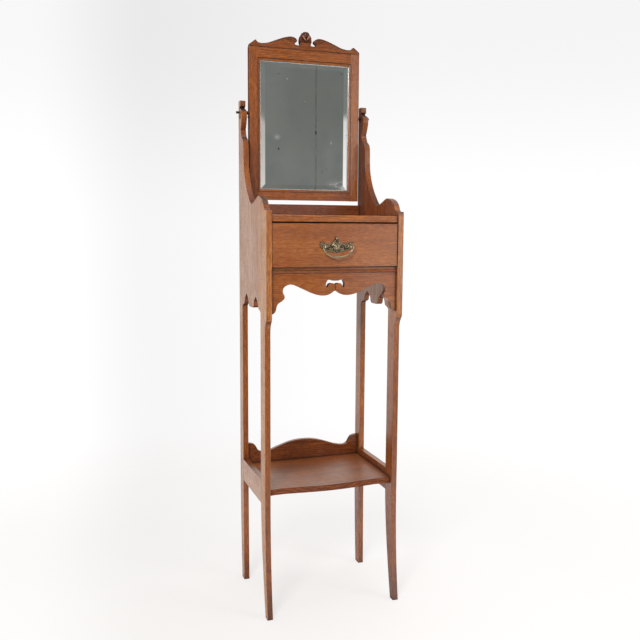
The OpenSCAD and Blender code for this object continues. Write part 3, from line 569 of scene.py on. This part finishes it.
def old_mirror(name):
    """Silvered glass gone slightly grey, with specks, scuffs and spotting at its rim."""
    material, tree, shader = new_material(name)
    at = object_place(tree)
    outside = calc(tree, "MAXIMUM", *from_glass_sides(tree, at))
    from_rim = times(tree, outside, -1.0)
    rim = ramped(tree, from_rim, 0.045, 0.006)
    rim_line = ramped(tree, from_rim, 0.0092, 0.0072)
    fox = calc(tree, "MULTIPLY_ADD", rim, 0.13, noise(tree, at, 60.0, 6.0, 0.72))
    fox = ramped(tree, fox, 0.70, 0.84)
    cloud = noise(tree, at, 17.0, 5.0, 0.6, 0.4)
    ragged = noise(tree, at, 420.0, 3.0, 0.6)
    spot = pin_specks(tree, at)
    handled = use(tree, HANDLING, Place=at, Seed=8.0)
    dark = marks(tree, at, DARK_MARKS, ragged, CRISP)
    pale = marks(tree, at, PALE_MARKS, ragged, 0.0)
    eaten = calc(tree, "MAXIMUM", times(tree, spot, 0.8), times(tree, fox, 0.55))
    silver = tint(tree, ramped(tree, cloud, 0.3, 0.7), (0.78, 0.835, 0.815),
                  (0.86, 0.88, 0.86))
    silver = washed(tree, silver, silver_seam(tree, at), 0.42, (0.36, 0.37, 0.35))
    silver = tint(tree, eaten, silver, (0.22, 0.215, 0.19))
    silver = tint(tree, dark, silver, (0.10, 0.10, 0.09))
    silver = washed(tree, silver, handled["Scratches"], 0.12, (0.98, 0.98, 0.96))
    silver = tint(tree, pale, silver, (0.60, 0.67, 0.72))
    rough = ramped(tree, handled["Smears"], 0.35, 0.85, 0.012, 0.050)
    rough = plus(tree, rough, (spot, 0.4), (pale, 0.3),
                 (corner_scuffs(tree, at, cloud), 0.30), (rim_line, 0.30))
    wire(tree, shader, Base_Color=silver, Metallic=rest_of(tree, pale), Roughness=rough,
         Normal=bumped(tree, cloud, through_glass(tree), 0.05, 0.0002))
    return material


# Each oak board: the way its grain runs, a seed, the pith beside it and how deep its
# colour is, then what else sets it apart. The pith is given across the grain, in metres.
FRAME_TOP = 1.622                        # joint between the top rail and the crest
FOOT = (0.130, 0.006, 0.32)              # floor grime and painted shade on the feet
# Legs: darker going down towards the floor, and darker at the ear.
LEG = ((0.88, 0.80, 0.12), (0.80, 0.04, 0.20), (1.150, 1.166, 0.20), FOOT)
# Posts: darker higher up, painted shade beside the mirror; darker towards the floor and on the
# top block.
POST = ((1.10, 1.30, 0.08), (0.45, 0.04, 0.06), (1.430, 1.442, 0.20), FOOT)
# Faces painted darker as shade from a height up, and less polished: axis, way, height and
# depth of colour.
INSIDE_LEFT = ("x", 1, 1.10, 0.34)
OUTSIDE_LEFT = ("x", -1, 1.10, 0.38)
SHEEN = {"shine": 0.80, "coat": 1.0, "coat_rough": 0.22}
POLISHED = {"coat": 1.0, "coat_rough": 0.15}
BOARDS = {
    # Faces that look left painted paler as light; pale arrises of lost stain and painted
    # highlight.
    "left_front_leg": ("z", 1.0, (-0.26, -0.10, 0), -0.17, dict(
        deepens=LEG + ((1.143, 1.150, 0.25),), shine=0.50, coat=0.52, dull_and_shaded=INSIDE_LEFT,
        left_face_light=0.31, left_polish=0.45, paling=0.9, rounding=0.0030, paling_colour=OAK_BARE_AND_HIGHLIGHT)),
    "left_side_panel": ("z", 2.0, (-0.29, 0.03, 0), -0.12, dict(
        deepens=((1.180, 1.150, 0.24), (1.150, 1.180, 0.12)), dull_and_shaded=INSIDE_LEFT,
        left_face_light=0.11)),
    "left_back_post": ("z", 3.0, (-0.25, 0.14, 0), 0.01, dict(
        deepens=POST, dull_and_shaded=INSIDE_LEFT, left_face_light=0.16, rounding=0.0026, paling=0.6)),
    # Inner faces painted darker as shade; edges dark with old varnish and painted shade.
    "right_front_leg": ("z", 4.0, (0.25, -0.16, 0), -0.22, dict(
        deepens=LEG + ((0.88, 0.78, 0.07), (1.124, 1.137, 0.34), (1.143, 1.148, -0.34)),
        dull_and_shaded=("x", -1, 1.10, 0.12), left_polish=0.15, edge_shade=0.35, **SHEEN)),
    "right_side_panel": ("z", 5.0, (0.28, 0.02, 0), -0.12, dict(
        deepens=((1.140, 1.165, 0.28), (1.175, 1.230, -0.10)),
        dull_and_shaded=("x", -1, 1.10, 0.24))),
    "right_back_post": ("z", 6.0, (0.13, 0.16, 0), -0.06, dict(
        deepens=POST, dull_and_shaded=("x", -1, 1.10, 0.32), rounding=0.0030, paling=0.6,
        left_face_light=-0.04, left_polish=0.5, shine=0.6, coat=0.85, coat_rough=0.20)),
    # Top painted darker, a painted dark reflection.
    "left_side_rail": ("y", 7.0, (-0.24, 0.40, 0), -0.26, dict(
        coat=0.8, coat_rough=0.30, shaded_top=0.50)),
    "right_side_rail": ("y", 8.0, (0.24, 0.30, 0), 0.10, dict(coat_rough=0.30)),
    "top_board": ("x", 9.0, (1.05, -0.02, 0), -0.02, dict(
        coat=0.8, coat_rough=0.22, bold=0.8)),
    "top_gallery": ("x", 10.0, (1.20, 0.22, 0), 0.22, dict(
        shine=0.6, coat=0.7, coat_rough=0.28)),
    # Pale bead ridges: lost stain and painted highlight.
    "drawer_rail": ("x", 11.0, (0.94, -0.20, 0), 0.14, dict(
        bold=0.7, paling=0.8, paling_colour=OAK_BARE_AND_HIGHLIGHT, **POLISHED)),
    "front_apron": ("x", 12.0, (0.90, -0.17, 0), 0.00, dict(
        coat=0.95, bold=0.65, silky=0.35, figure=0.09)),
    # Front faces painted darker as shade; edges dark with old varnish and painted shade.
    "shelf": ("x", 13.0, (0.30, 0.02, 0), 0.07, dict(
        gloss=0.38, rounding=0.003, edge_shade=0.65, shine=0.6, coat=0.8,
        coat_rough=0.38, dull_and_shaded=("y", -1, 0.0, 0.22), bold=0.8)),
    "shelf_gallery": ("x", 14.0, (0.43, 0.20, 0), 0.28, dict(
        rounding=0.003, coat=0.9, coat_rough=0.10)),
    "drawer_front": ("x", 15.0, (1.08, -0.21, 0), -0.04, dict(
        ring=0.0050, figure=0.05, bold=0.55, silky=0.45, shine=0.45, **POLISHED)),
    # Outer face painted darker as shade; painted shade along the moulding's step.
    "mirror_left_stile": ("z", 16.0, (-0.22, 0.10, 0), 0.14, dict(
        quirk_shade=True, dull_and_shaded=OUTSIDE_LEFT, bold=0.8)),
    "mirror_right_stile": ("z", 17.0, (0.21, 0.11, 0), -0.02, dict(
        quirk_shade=True, bold=0.8, deepens=((1.46, 1.60, 0.11),), **SHEEN)),
    "mirror_top_rail": ("x", 18.0, (1.64, 0.09, 0), 0.07, dict(
        quirk_shade=True, joint_at=FRAME_TOP, bold=0.8)),
    "mirror_bottom_rail": ("x", 19.0, (1.15, 0.10, 0), 0.10, dict(
        quirk_shade=True, bold=0.8, **POLISHED)),
    # Edges dark with old varnish and painted shade.
    "mirror_crest": ("x", 20.0, (1.70, 0.10, 0), 0.18, dict(
        rounding=0.008, edge_shade=1.0, joint_at=FRAME_TOP, bold=0.8)),
}
# Each plain board: the way its grain runs, a seed and how pale it is.
PLAIN_BOARDS = {
    "case_back": ("x", 31.0, 0.72), "left_runner": ("y", 32.0, 0.9),
    "right_runner": ("y", 33.0, 0.88), "drawer_stops": ("y", 34.0, 0.85),
    "apron_blocks": ("x", 35.0, 0.8), "shelf_cleats": ("y", 36.0, 0.7),
    "drawer_left_side": ("y", 37.0, 0.95), "drawer_right_side": ("y", 38.0, 0.92),
    "drawer_back": ("x", 39.0, 0.95), "drawer_bottom": ("x", 40.0, 1.0),
    "mirror_backboard": ("z", 41.0, 0.66),
}
BRASSES = ("post_plates", "pull_posts", "pull_nuts", "pull_bail")
BLACKENED = ("pivot_plates", "left_pivot_screw", "right_pivot_screw", "pull_plate")


def dress(target, material):
    target.data.materials.clear()
    target.data.materials.append(material)


def finish_boards(nodes):
    """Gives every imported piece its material, and gives back the brass."""
    for name, (runs, seed, pith, deep, more) in BOARDS.items():
        dress(nodes[name], oak("oak_" + name, runs, seed, pith, deep, **more))
    for name, (runs, seed, tone) in PLAIN_BOARDS.items():
        dress(nodes[name], bare_wood("bare_" + name, runs, seed, tone))
    brass = aged_brass("tarnished_brass")
    blackened = aged_brass("blackened_brass", (0.055, 0.040, 0.024),
                           (0.12, 0.090, 0.054), 0.4)
    for name in BRASSES + BLACKENED:
        dress(nodes[name], brass if name in BRASSES else blackened)
    dress(nodes["mirror_glass"], old_mirror("old_silvering"))
    return brass


# ---- extra pieces ----
# Places are in millimetres, taken across and up from a named point of the stand.

MM = 0.001
FORWARD = (0, -1, 0)
BACKWARD = (0, 1, 0)


def add_object(name, data):
    made = bpy.data.objects.new(name, data)
    bpy.context.scene.collection.objects.link(made)
    return made


def mesh_from(name, work):
    mesh = bpy.data.meshes.new(name)
    work.to_mesh(mesh)
    work.free()
    return mesh


def make_piece(name, work, body, material, smooth=True):
    """Turns a finished bmesh into a piece that rides on a body."""
    bmesh.ops.recalc_face_normals(work, faces=work.faces)
    for face in work.faces:
        face.smooth = smooth
    piece = add_object(name, mesh_from(name, work))
    dress(piece, material)
    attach(piece, body)


def smooth_path(points, steps=6):
    """A rounder line through the same points."""
    rounded = []
    last = len(points) - 1
    for i in range(last):
        a, b = points[max(i - 1, 0)], points[i]
        c, d = points[i + 1], points[min(i + 2, last)]
        for k in range(steps):
            t = k / steps
            rounded.append(tuple(
                q + t / 2 * ((r - p) + t * ((2 * p - 5 * q + 4 * r - s)
                                            + t * (3 * q - p - 3 * r + s)))
                for p, q, r, s in zip(a, b, c, d)))
    return rounded + [tuple(points[-1])]


def round_point(r, degrees):
    return r * math.cos(math.radians(degrees)), r * math.sin(math.radians(degrees))


def curl(centre, start_r, end_r, start, turns, steps=26):
    """A scroll that winds in to its centre."""
    line = []
    for i in range(steps + 1):
        t = i / steps
        x, z = round_point(start_r + (end_r - start_r) * t, start + 360 * turns * t)
        line.append((centre[0] + x, centre[1] + z))
    return line


def skin(work, one, two, closed=True):
    """Faces between two rows of vertices."""
    for k in range(len(one) if closed else len(one) - 1):
        n = (k + 1) % len(one)
        work.faces.new((one[k], one[n], two[n], two[k]))


def raised_line(work, line, widths, origin, mirror=1, lift=0.55, sides=8):
    """A rounded bead along a line on a front face; widths are its radii from end to
    end, and lift is how far it stands out, in radii. It is sunk a little."""
    sunk = 0.25
    rings = []
    count = len(line)
    for i, (x, z) in enumerate(line):
        before, after = line[max(i - 1, 0)], line[min(i + 1, count - 1)]
        ahead = Vector((after[0] - before[0], after[1] - before[1])).normalized()
        share = i / (count - 1) * (len(widths) - 1)
        low = min(int(share), len(widths) - 2)
        r = widths[low] + (widths[low + 1] - widths[low]) * (share - low)
        ring = []
        for k in range(sides):
            a = 2 * math.pi * k / sides
            side, out = r * math.cos(a), r * lift * (1 + math.sin(a)) - sunk
            spot = Vector(((x - ahead.y * side) * mirror, -out, z + ahead.x * side))
            ring.append(work.verts.new(origin + spot * MM))
        rings.append(ring)
    for one, two in zip(rings, rings[1:]):
        skin(work, one, two)
    work.faces.new(rings[0])
    work.faces.new(rings[-1])


def raised_lines(work, lines, origin, lift=0.55):
    """Raised lines through some points, and their mirror images."""
    for side in (1, -1):
        for points, widths in lines:
            raised_line(work, smooth_path(points), widths, origin, side, lift)


def turn_to(facing):
    return Vector((0, 0, 1)).rotation_difference(Vector(facing)).to_matrix()


def turned(work, profile, place, facing, steps=20):
    """A turned knob: profile gives (radius, height) from its base to its top."""
    turn = turn_to(facing)
    rings = []
    for r, h in profile:
        around = [2 * math.pi * k / steps for k in range(steps)] if r else [0]
        rings.append([work.verts.new(Vector(place) + turn @ Vector(
            (r * math.cos(a), r * math.sin(a), h)) * MM) for a in around])
    for one, two in zip(rings, rings[1:]):
        if len(two) > 1:
            skin(work, one, two)
        else:
            for k in range(steps):
                work.faces.new((one[k], one[(k + 1) % steps], two[0]))
    work.faces.new(rings[0])


# Relief on the right half of the pull's plate, from the plate's centre: scrolls as
# (middle, first and last radius, first angle, turns, widths), then leaves.
PULL_SCROLLS = (((28.5, 2.5), 7.6, 1.6, 200, -1.5, (0.8, 1.5, 1.0)),
                ((42.0, 7.0), 5.2, 1.2, 250, 1.4, (0.7, 1.3, 0.9)),
                ((15.5, -6.0), 5.4, 1.4, 60, -1.4, (0.8, 1.4, 0.9)))
PULL_LEAVES = ((((1.5, 19), (5, 15.5), (9, 11.5), (14.5, 8.5), (21, 7.5)), (0.9, 1.7, 0.7)),
               (((1, 14.5), (4.5, 12), (9.5, 7.5), (13.5, 3.5), (19, 2)), (0.7, 1.3, 0.6)),
               (((2, -14.6), (9, -13.2), (18, -10.8), (27, -8.6), (35, -6.2), (42, -2.2),
                 (45.6, 2.5)), (1.3, 1.5, 0.9)),
               (((34, -3), (38, 5), (40, 10.5), (43.5, 12.5)), (0.6, 1.2, 0.7)))
PULL_HEART = ((0, -5.2), (2.8, -2.8), (4.4, 0.4), (4.2, 3.0), (2.4, 4.2), (0.4, 2.8))
FINIAL_UP = 23


def pull_relief(brass):
    """Cast scrolls, beads, leaf and boss on the pull's back plate."""
    plate_t, ball_r = 1.6 * MM, 4.25 * MM
    centre = Vector((0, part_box("drawer_front")[0].y - plate_t,
                     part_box("pull_posts")[0].z + ball_r))
    work = bmesh.new()
    for side in (1, -1):
        for *scroll, widths in PULL_SCROLLS:
            raised_line(work, curl(*scroll), widths, centre, side)
        for leaf, widths in PULL_LEAVES:
            raised_line(work, smooth_path(leaf), widths, centre, side)
    ring = [round_point(8.0, 10 * i) for i in range(37)]
    raised_line(work, ring, (1.5, 1.5), centre, lift=0.8)
    for i in range(10):
        x, z = round_point(11.2, 36 * i + 18)
        turned(work, ((1.5, -0.3), (1.4, 0.7), (0.9, 1.5), (0, 1.8)),
               centre + Vector((x, 0, z)) * MM, FORWARD, 10)
    in_front = centre + Vector((0, -1.2, 0)) * MM
    for side in (1, -1):
        raised_line(work, smooth_path(PULL_HEART, 4), (1.2, 1.9, 1.2), in_front, side, 0.7)
    turned(work, ((3.4, 0), (3.2, 2.0), (2.0, 3.2), (0, 3.6)), centre, FORWARD)
    turned(work, ((4.0, -0.4), (3.9, 2.4), (3.4, 4.0), (2.2, 5.2), (0, 5.7)),
           centre + Vector((0, 0, FINIAL_UP)) * MM, FORWARD)
    make_piece("pull_relief", work, "drawer", brass)


SHELL_FOOT = 25.0                        # above the joint of crest and top rail
# Rim of the shell, as (angle from up in degrees, distance from its foot).
SHELL_RIM = ((0, 28.6), (14.5, 28.1), (30, 23.8), (52, 20.8), (75, 18.9), (96, 18.0))
RIB_STEP = 35.0                          # degrees between two ribs
# Raised lines on the left half of the crest, as (points, widths).
SCROLL_LINES = (
    (((-96, 19.0), (-84, 23.2), (-66, 29.6), (-52, 33.0), (-42, 33.2), (-35, 30.6),
      (-31.2, 27.4), (-32.4, 24.0), (-36.0, 23.6), (-37.6, 26.2)), (0.5, 1.0, 1.3, 1.1)),
    (((-78, 20.8), (-64, 25.0), (-52, 28.0), (-44, 28.4), (-39.6, 26.0)), (0.4, 1.0, 0.8)),
    (((-62, 20.4), (-53, 23.0), (-46, 23.8), (-41, 22.0), (-38, 18.5)), (0.4, 0.9, 0.5)))


def shell_reach(angle):
    """Distance from the shell's foot to its rim at an angle from up."""
    angle = abs(angle)
    for (a, ra), (b, rb) in zip(SHELL_RIM, SHELL_RIM[1:]):
        if angle <= b:
            return ra + (rb - ra) * (angle - a) / (b - a)
    return SHELL_RIM[-1][1]


def shell_flute(angle):
    """0 on a rib of the shell and 1 in the middle of the hollow beside it."""
    return abs(math.sin(math.radians(angle * 180 / RIB_STEP)))


def shell_height(angle, t):
    """How far the carved shell stands out: sharp ribs with hollow flutes between them."""
    rib = 1 - shell_flute(angle) ** 0.7
    rise = math.sin(math.pi * min(1.0, 0.25 + 0.75 * t) ** 1.3) ** 0.5 if t < 1 else 0
    return 2.15 + rib * 2.6 * max(rise, 0.0) + (1 - t) ** 3 * 0.8


def crest_shell(origin, carved):
    """Fluted shell that fans out from its foot, with a knob on the foot."""
    steps, inside, half_fan = 14, 0.06, 95
    angles = [-half_fan + 2.5 * i for i in range(77)]
    work = bmesh.new()
    rows = []
    for i in range(steps + 1):
        t = inside + (1 - inside) * i / steps
        row = []
        for a in angles:
            lobe = 1 - 0.06 * (1 - shell_flute(a)) ** 2
            r = shell_reach(a) * t * lobe
            row.append(work.verts.new(origin + Vector(
                (r * math.sin(math.radians(a)), -shell_height(a, t),
                 SHELL_FOOT + r * math.cos(math.radians(a)))) * MM))
        rows.append(row)
    skirt = [work.verts.new(v.co + Vector((0, 6.0, 0)) * MM) for v in rows[-1]]
    inner = [work.verts.new(v.co + Vector((0, 4.0, 0)) * MM) for v in rows[0]]
    for one, two in zip([inner] + rows, rows + [skirt]):
        skin(work, one, two, closed=False)
    turned(work, ((3.0, -0.5), (2.9, 3.2), (2.0, 4.2), (0, 4.6)),
           origin + Vector((0, 0, SHELL_FOOT)) * MM, FORWARD)
    make_piece("crest_shell", work, "mirror", carved)


def crest_carving(carved, line_shade, paling):
    """Fluted shell in the middle of the crest, and the leaf lines of its two scrolls."""
    low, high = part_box("mirror_left_stile")
    origin = Vector((0, low.y, high.z))
    crest_shell(origin, carved)
    work = bmesh.new()
    lean = math.radians(RIB_STEP)
    rib = [(r * math.sin(lean), SHELL_FOOT + r * math.cos(lean))
           for r in (3.0, 8.0, 14.0, 19.5)]
    raised_lines(work, [(rib, (1.2, 2.8, 2.2))], origin + Vector((0, -3.6, 0)) * MM, 0.8)
    # The ribs' pale stain is a painted sheen.
    make_piece("crest_shell_ribs", work, "mirror", paling)
    work = bmesh.new()
    raised_lines(work, SCROLL_LINES, origin, 0.5)
    # The leaf lines' dark stain is painted shade.
    make_piece("crest_scroll_lines", work, "mirror", line_shade)


def slotted_head(work, place, facing, r=3.1, h=2.2):
    """A round-headed screw with its slot."""
    part = bmesh.new()
    rim, gap = 0.5, 0.4 * MM             # height of the head's rim, half the slot
    profile = [(r, 0), (r, rim)] + [
        (r * math.cos(a), rim + (h - rim) * math.sin(a))
        for a in [math.radians(15 * i) for i in range(1, 6)]] + [(0, h)]
    turned(part, profile, (0, 0, 0), (0, 0, 1), 24)
    turn, twist = turn_to(facing).to_4x4(), Matrix.Rotation(0.5, 4, "Z")
    for side in (1, -1):
        half = part.copy()
        cut = bmesh.ops.bisect_plane(
            half, geom=half.verts[:] + half.edges[:] + half.faces[:],
            plane_co=(side * gap, 0, 0), plane_no=(-side, 0, 0), clear_outer=True)
        edges = [e for e in cut["geom_cut"] if isinstance(e, bmesh.types.BMEdge)]
        bmesh.ops.edgeloop_fill(half, edges=edges)
        half.transform(Matrix.Translation(place) @ turn @ twist)
        mesh = mesh_from("slot_half", half)
        work.from_mesh(mesh)
        bpy.data.meshes.remove(mesh)
    part.free()
    turned(work, ((r, -0.2), (r, 0.6), (0, 0.6)), place, facing)


def plate_screws(steel):
    """Slotted screws in the plates on the outside of the posts."""
    plate_t, plate_drop = 1.8 * MM, 12 * MM
    low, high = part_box("left_pivot_screw")
    pivot = (low + high) / 2
    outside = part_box("right_back_post")[1].x + plate_t
    work = bmesh.new()
    for side in (1, -1):
        slotted_head(work, (side * outside, pivot.y, pivot.z - plate_drop), (side, 0, 0))
    make_piece("post_plate_screws", work, "stand", steel, smooth=False)


def round_the_rim(low, high, inset, across, upward):
    """Places just inside the rim of an upright board, across by upward of them."""
    xs, zs = ([start + inset + (end - start - 2 * inset) * i / (count - 1)
               for i in range(count)]
              for start, end, count in ((low.x, high.x, across), (low.z, high.z, upward)))
    return [(x, z) for x in xs for z in (zs[0], zs[-1])] + \
           [(x, z) for z in zs[1:-1] for x in (xs[0], xs[-1])]


def nail_heads(name, board, body, steel, r, inset, across, upward):
    """Nails round the rim of a board, on its back."""
    low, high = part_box(board)
    work = bmesh.new()
    for x, z in round_the_rim(low, high, inset * MM, across, upward):
        turned(work, ((r, -0.3), (r, 0.2), (r * 0.85, 0.6), (r * 0.5, 0.8), (0, 0.86)),
               (x, high.y, z), BACKWARD, 14)
    make_piece(name, work, body, steel)


def back_nails(steel):
    """Nails that hold the case back, and sprigs that hold the mirror's backboard."""
    nail_heads("case_back_nails", "case_back", "stand", steel, 1.9, 9, 5, 3)
    nail_heads("mirror_back_sprigs", "mirror_backboard", "mirror", steel, 1.3, 4, 4, 5)


# ---- studio ----

WARM_WHITE = (1.0, 0.97, 0.93)


def make_camera():
    """The photograph's own view of the stand."""
    turn, tip, roll = (math.radians(a) for a in (19.129, -6.822, 0.355))
    eye = (-0.747, -2.1636, 1.0996)
    focal_px, picture_px, sensor_mm = 781.88, 640.0, 36.0
    ahead = Vector((math.sin(turn) * math.cos(tip), math.cos(turn) * math.cos(tip),
                    math.sin(tip)))
    level = Vector((math.cos(turn), -math.sin(turn), 0))
    up = level.cross(ahead)
    right = level * math.cos(roll) + up * math.sin(roll)
    up = up * math.cos(roll) - level * math.sin(roll)
    data = bpy.data.cameras.new("studio_camera")
    data.sensor_width = sensor_mm
    data.lens = sensor_mm * focal_px / picture_px
    camera = add_object("studio_camera", data)
    facing = Matrix((right, up, -ahead)).transposed().to_4x4()
    camera.matrix_world = Matrix.Translation(eye) @ facing
    bpy.context.scene.camera = camera


def seen_or_mirrored(tree):
    """1 for rays from the camera, or from it by way of glass."""
    path = put(tree, "LightPath").outputs
    return calc(tree, "MAXIMUM", path["Is Camera Ray"], path["Is Transmission Ray"])


def bright_cards(tree, bearing, up):
    """The two bright cards that the bevels and the boards' sides shine with. The right
    one's upper edge slants."""
    slant = calc(tree, "MULTIPLY_ADD", bearing, 0.021, -0.56)
    right = between(tree, bearing, (20.9, 21.7), (62.0, 50.0))
    right = times(tree, right, ramped(tree, calc(tree, "ADD", up, slant), 0.142, 0.128))
    left = between(tree, bearing, (5.0, 7.0), (12.2, 10.8))
    left = times(tree, left, ramped(tree, up, 0.140, 0.128))
    return calc(tree, "MAXIMUM", right, left)


def card_colour(tree, bearing, up):
    """Brightest low down, dimmer higher up, and dimmer where the left bevel looks."""
    card = tint(tree, ramped(tree, up, 0.02, 0.14), (1.16, 1.105, 1.095),
                (0.80, 0.775, 0.77))
    card = tint(tree, ramped(tree, up, 0.02, -0.015), card, (1.60, 1.52, 1.50))
    for_bevel = ramped(tree, away_from(tree, bearing, 26.8), 1.8, 0.9)
    return tint(tree, for_bevel, card, (0.70, 0.665, 0.625), "MULTIPLY")


def room_in_front(tree, bearing, up):
    """The grey wall that the glass faces, and the darker room round and above it."""
    off_middle = away_from(tree, bearing, 18.0)
    upper_right = times(tree, ramped(tree, up, 0.06, 0.16),
                        ramped(tree, bearing, 15.2, 17.8))
    facing = tint(tree, upper_right, (0.198, 0.200, 0.190), (0.171, 0.173, 0.164))
    facing = tint(tree, ramped(tree, off_middle, 4.2, 6.5), facing, (0.215, 0.225, 0.222))
    high_wall = tint(tree, ramped(tree, up, 0.12, 0.42), (0.055, 0.057, 0.057),
                     (0.34, 0.33, 0.32))
    side_wall = tint(tree, ramped(tree, off_middle, 20.0, 42.0), high_wall,
                     (0.17, 0.167, 0.162), "LIGHTEN")
    faces_glass = times(tree, ramped(tree, up, -0.024, -0.008),
                        ramped(tree, off_middle, 13.0, 10.0))
    return tint(tree, faces_glass, side_wall, facing)


def paper_behind(tree, way):
    """White paper behind the stand, shaded at its left, far right and top."""
    left = times(tree, ramped(tree, way["X"], -0.29, -0.34), ramped(tree, way["Z"], 0.0, 0.06))
    top = times(tree, ramped(tree, way["Z"], 0.50, 0.90, 0.0, 0.6),
                ramped(tree, way["Y"], 0.45, 0.15))
    far_right = ramped(tree, way["X"], 0.60, 0.80, 0.0, 0.85)
    shaded = calc(tree, "MAXIMUM", left, calc(tree, "MAXIMUM", top, far_right))
    return tint(tree, shaded, (0.98, 0.925, 0.875), (0.10, 0.095, 0.09))


def polish_sees(tree, way):
    """What the polish and the mirror reflect in each direction. A bearing is in degrees
    from straight ahead of the stand's front, towards +X."""
    bearing = calc(tree, "ARCTAN2", way["X"], times(tree, way["Y"], -1.0))
    bearing = times(tree, bearing, 180 / math.pi)
    up = way["Z"]
    behind = ramped(tree, way["Y"], -0.25, 0.15)
    below = ramped(tree, up, -0.10, -0.22)
    cards = times(tree, bright_cards(tree, bearing, up), rest_of(tree, below))
    colour = tint(tree, behind, room_in_front(tree, bearing, up), paper_behind(tree, way))
    colour = tint(tree, cards, colour, card_colour(tree, bearing, up))
    floor_in_front = times(tree, below, rest_of(tree, behind))
    return tint(tree, floor_in_front, colour, (0.15, 0.15, 0.15))


def make_world():
    """Soft white room: pale to the camera, white behind the stand and dim in front of
    it, where the photographer stood, for what the polish and the mirror reflect."""
    world = bpy.data.worlds.new("studio_room")
    bpy.context.scene.world = world
    tree = empty_tree(world)
    way = axes_of(tree, put(tree, "TexCoord").outputs["Generated"])
    room = put(tree, "Background", {"Color": (1.0, 0.985, 0.97), "Strength": 0.36})
    shine = put(tree, "Background", {"Color": polish_sees(tree, way), "Strength": 1.0})
    # Painted light and shade on the paper that the camera sees: dimmer higher up, brighter to
    # the right and brighter again to the left.
    pale = times(tree, ramped(tree, way["Z"], 0.24, -0.02, 0.87, 0.98),
                 ramped(tree, way["X"], 0.05, 0.45, 0.945, 1.06))
    pale = calc(tree, "ADD", pale, ramped(tree, way["X"], 0.13, -0.02, 0.0, 0.13))
    paper = put(tree, "Background", {"Color": (1.0, 0.9885, 0.991), "Strength": pale})
    glossy = put(tree, "LightPath").outputs["Is Glossy Ray"]
    lit = mixed(tree, glossy, room, shine)
    show(tree, mixed(tree, seen_or_mirrored(tree), lit, paper), "World")


def make_lamp(name, place, aim, size, power):
    data = bpy.data.lights.new(name, "AREA")
    data.shape, data.size, data.energy, data.color = "DISK", size, power, WARM_WHITE
    lamp = add_object(name, data)
    lamp.location = place
    lamp.rotation_mode = "QUATERNION"
    lamp.rotation_quaternion = (Vector(aim) - Vector(place)).to_track_quat("-Z", "Y")


def make_floor():
    """A pale round of floor that melts into the paper behind it."""
    floor_r, melts_from, melts_to = 2.4, 0.5, 2.2
    work = bmesh.new()
    bmesh.ops.create_circle(work, cap_ends=True, segments=96, radius=floor_r)
    floor = add_object("studio_floor", mesh_from("studio_floor", work))
    material = bpy.data.materials.new("pale_floor")
    tree = empty_tree(material)
    at = object_place(tree)
    split = axes_of(tree, at)
    aslant = calc(tree, "MULTIPLY_ADD", split["Y"], -0.112, split["X"])
    # Painted light and shade: the glow that the camera sees is dimmer to the left and brighter
    # to the right and at the far left.
    bright = calc(tree, "ADD", ramped(tree, split["X"], -0.9, 0.5, 0.92, 1.07),
                  ramped(tree, aslant, -0.46, -0.90, 0.0, 0.12))
    lit = put(tree, "BsdfDiffuse", {"Color": (0.96, 0.95, 0.945)})
    pale = put(tree, "Emission", {"Color": (1.0, 0.985, 0.98), "Strength": bright})
    paper = mixed(tree, times(tree, seen_or_mirrored(tree), 0.66), lit, pale)
    away = ramped(tree, along(tree, "LENGTH", at), melts_from, melts_to)
    show(tree, mixed(tree, away, paper, put(tree, "BsdfTransparent")))
    dress(floor, material)


def make_studio():
    make_camera()
    make_world()
    make_floor()
    make_lamp("big_soft_light", (-1.9, -2.7, 2.6), (0, 0, 0.9), 1.3, 82)
    make_lamp("right_soft_light", (2.4, -2.2, 1.7), (0, 0, 0.9), 1.4, 26)
    make_lamp("top_soft_light", (0.1, 0.2, 3.6), (0, 0, 0.8), 1.6, 30)
    bpy.context.scene.view_settings.view_transform = "Standard"


# ---- the job ----

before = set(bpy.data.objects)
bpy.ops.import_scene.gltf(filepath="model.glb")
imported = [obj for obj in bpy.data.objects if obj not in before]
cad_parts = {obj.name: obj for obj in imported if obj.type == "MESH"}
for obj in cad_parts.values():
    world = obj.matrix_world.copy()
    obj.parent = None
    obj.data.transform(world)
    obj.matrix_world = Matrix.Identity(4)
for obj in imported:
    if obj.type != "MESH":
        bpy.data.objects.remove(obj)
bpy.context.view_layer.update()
make_studio()
brass = finish_boards(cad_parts)
steel = dull_steel("screw_steel")
carved_oak = oak("oak_crest_carving", "x", 21.0, (1.70, 0.10, 0), 0.54, rounding=0.0012,
                 paling=0.55, dirt_shade_reach=0.009, shine=0.25, coat=0.3, coat_rough=0.36)
pull_relief(brass)
# Nearly black stain on the raised leaf lines: painted shade.
line_shade_oak = oak("oak_crest_line_shade", "x", 22.0, (1.70, 0.10, 0), 0.52, rounding=0.0008,
                paling=0.3, dirt_shade_reach=0.006)
# Pale pinkish stain on the shell's ribs: stain paled by handling and a painted sheen.
rib_sheen_oak = oak("oak_rib_sheen", "x", 23.0, (1.70, 0.10, 0), -0.16, rounding=0.0024,
                 paling=0.8, dirt_shade_reach=0.001, paling_colour=(0.52, 0.31, 0.22), **SHEEN)
crest_carving(carved_oak, line_shade_oak, rib_sheen_oak)
plate_screws(steel)
back_nails(steel)
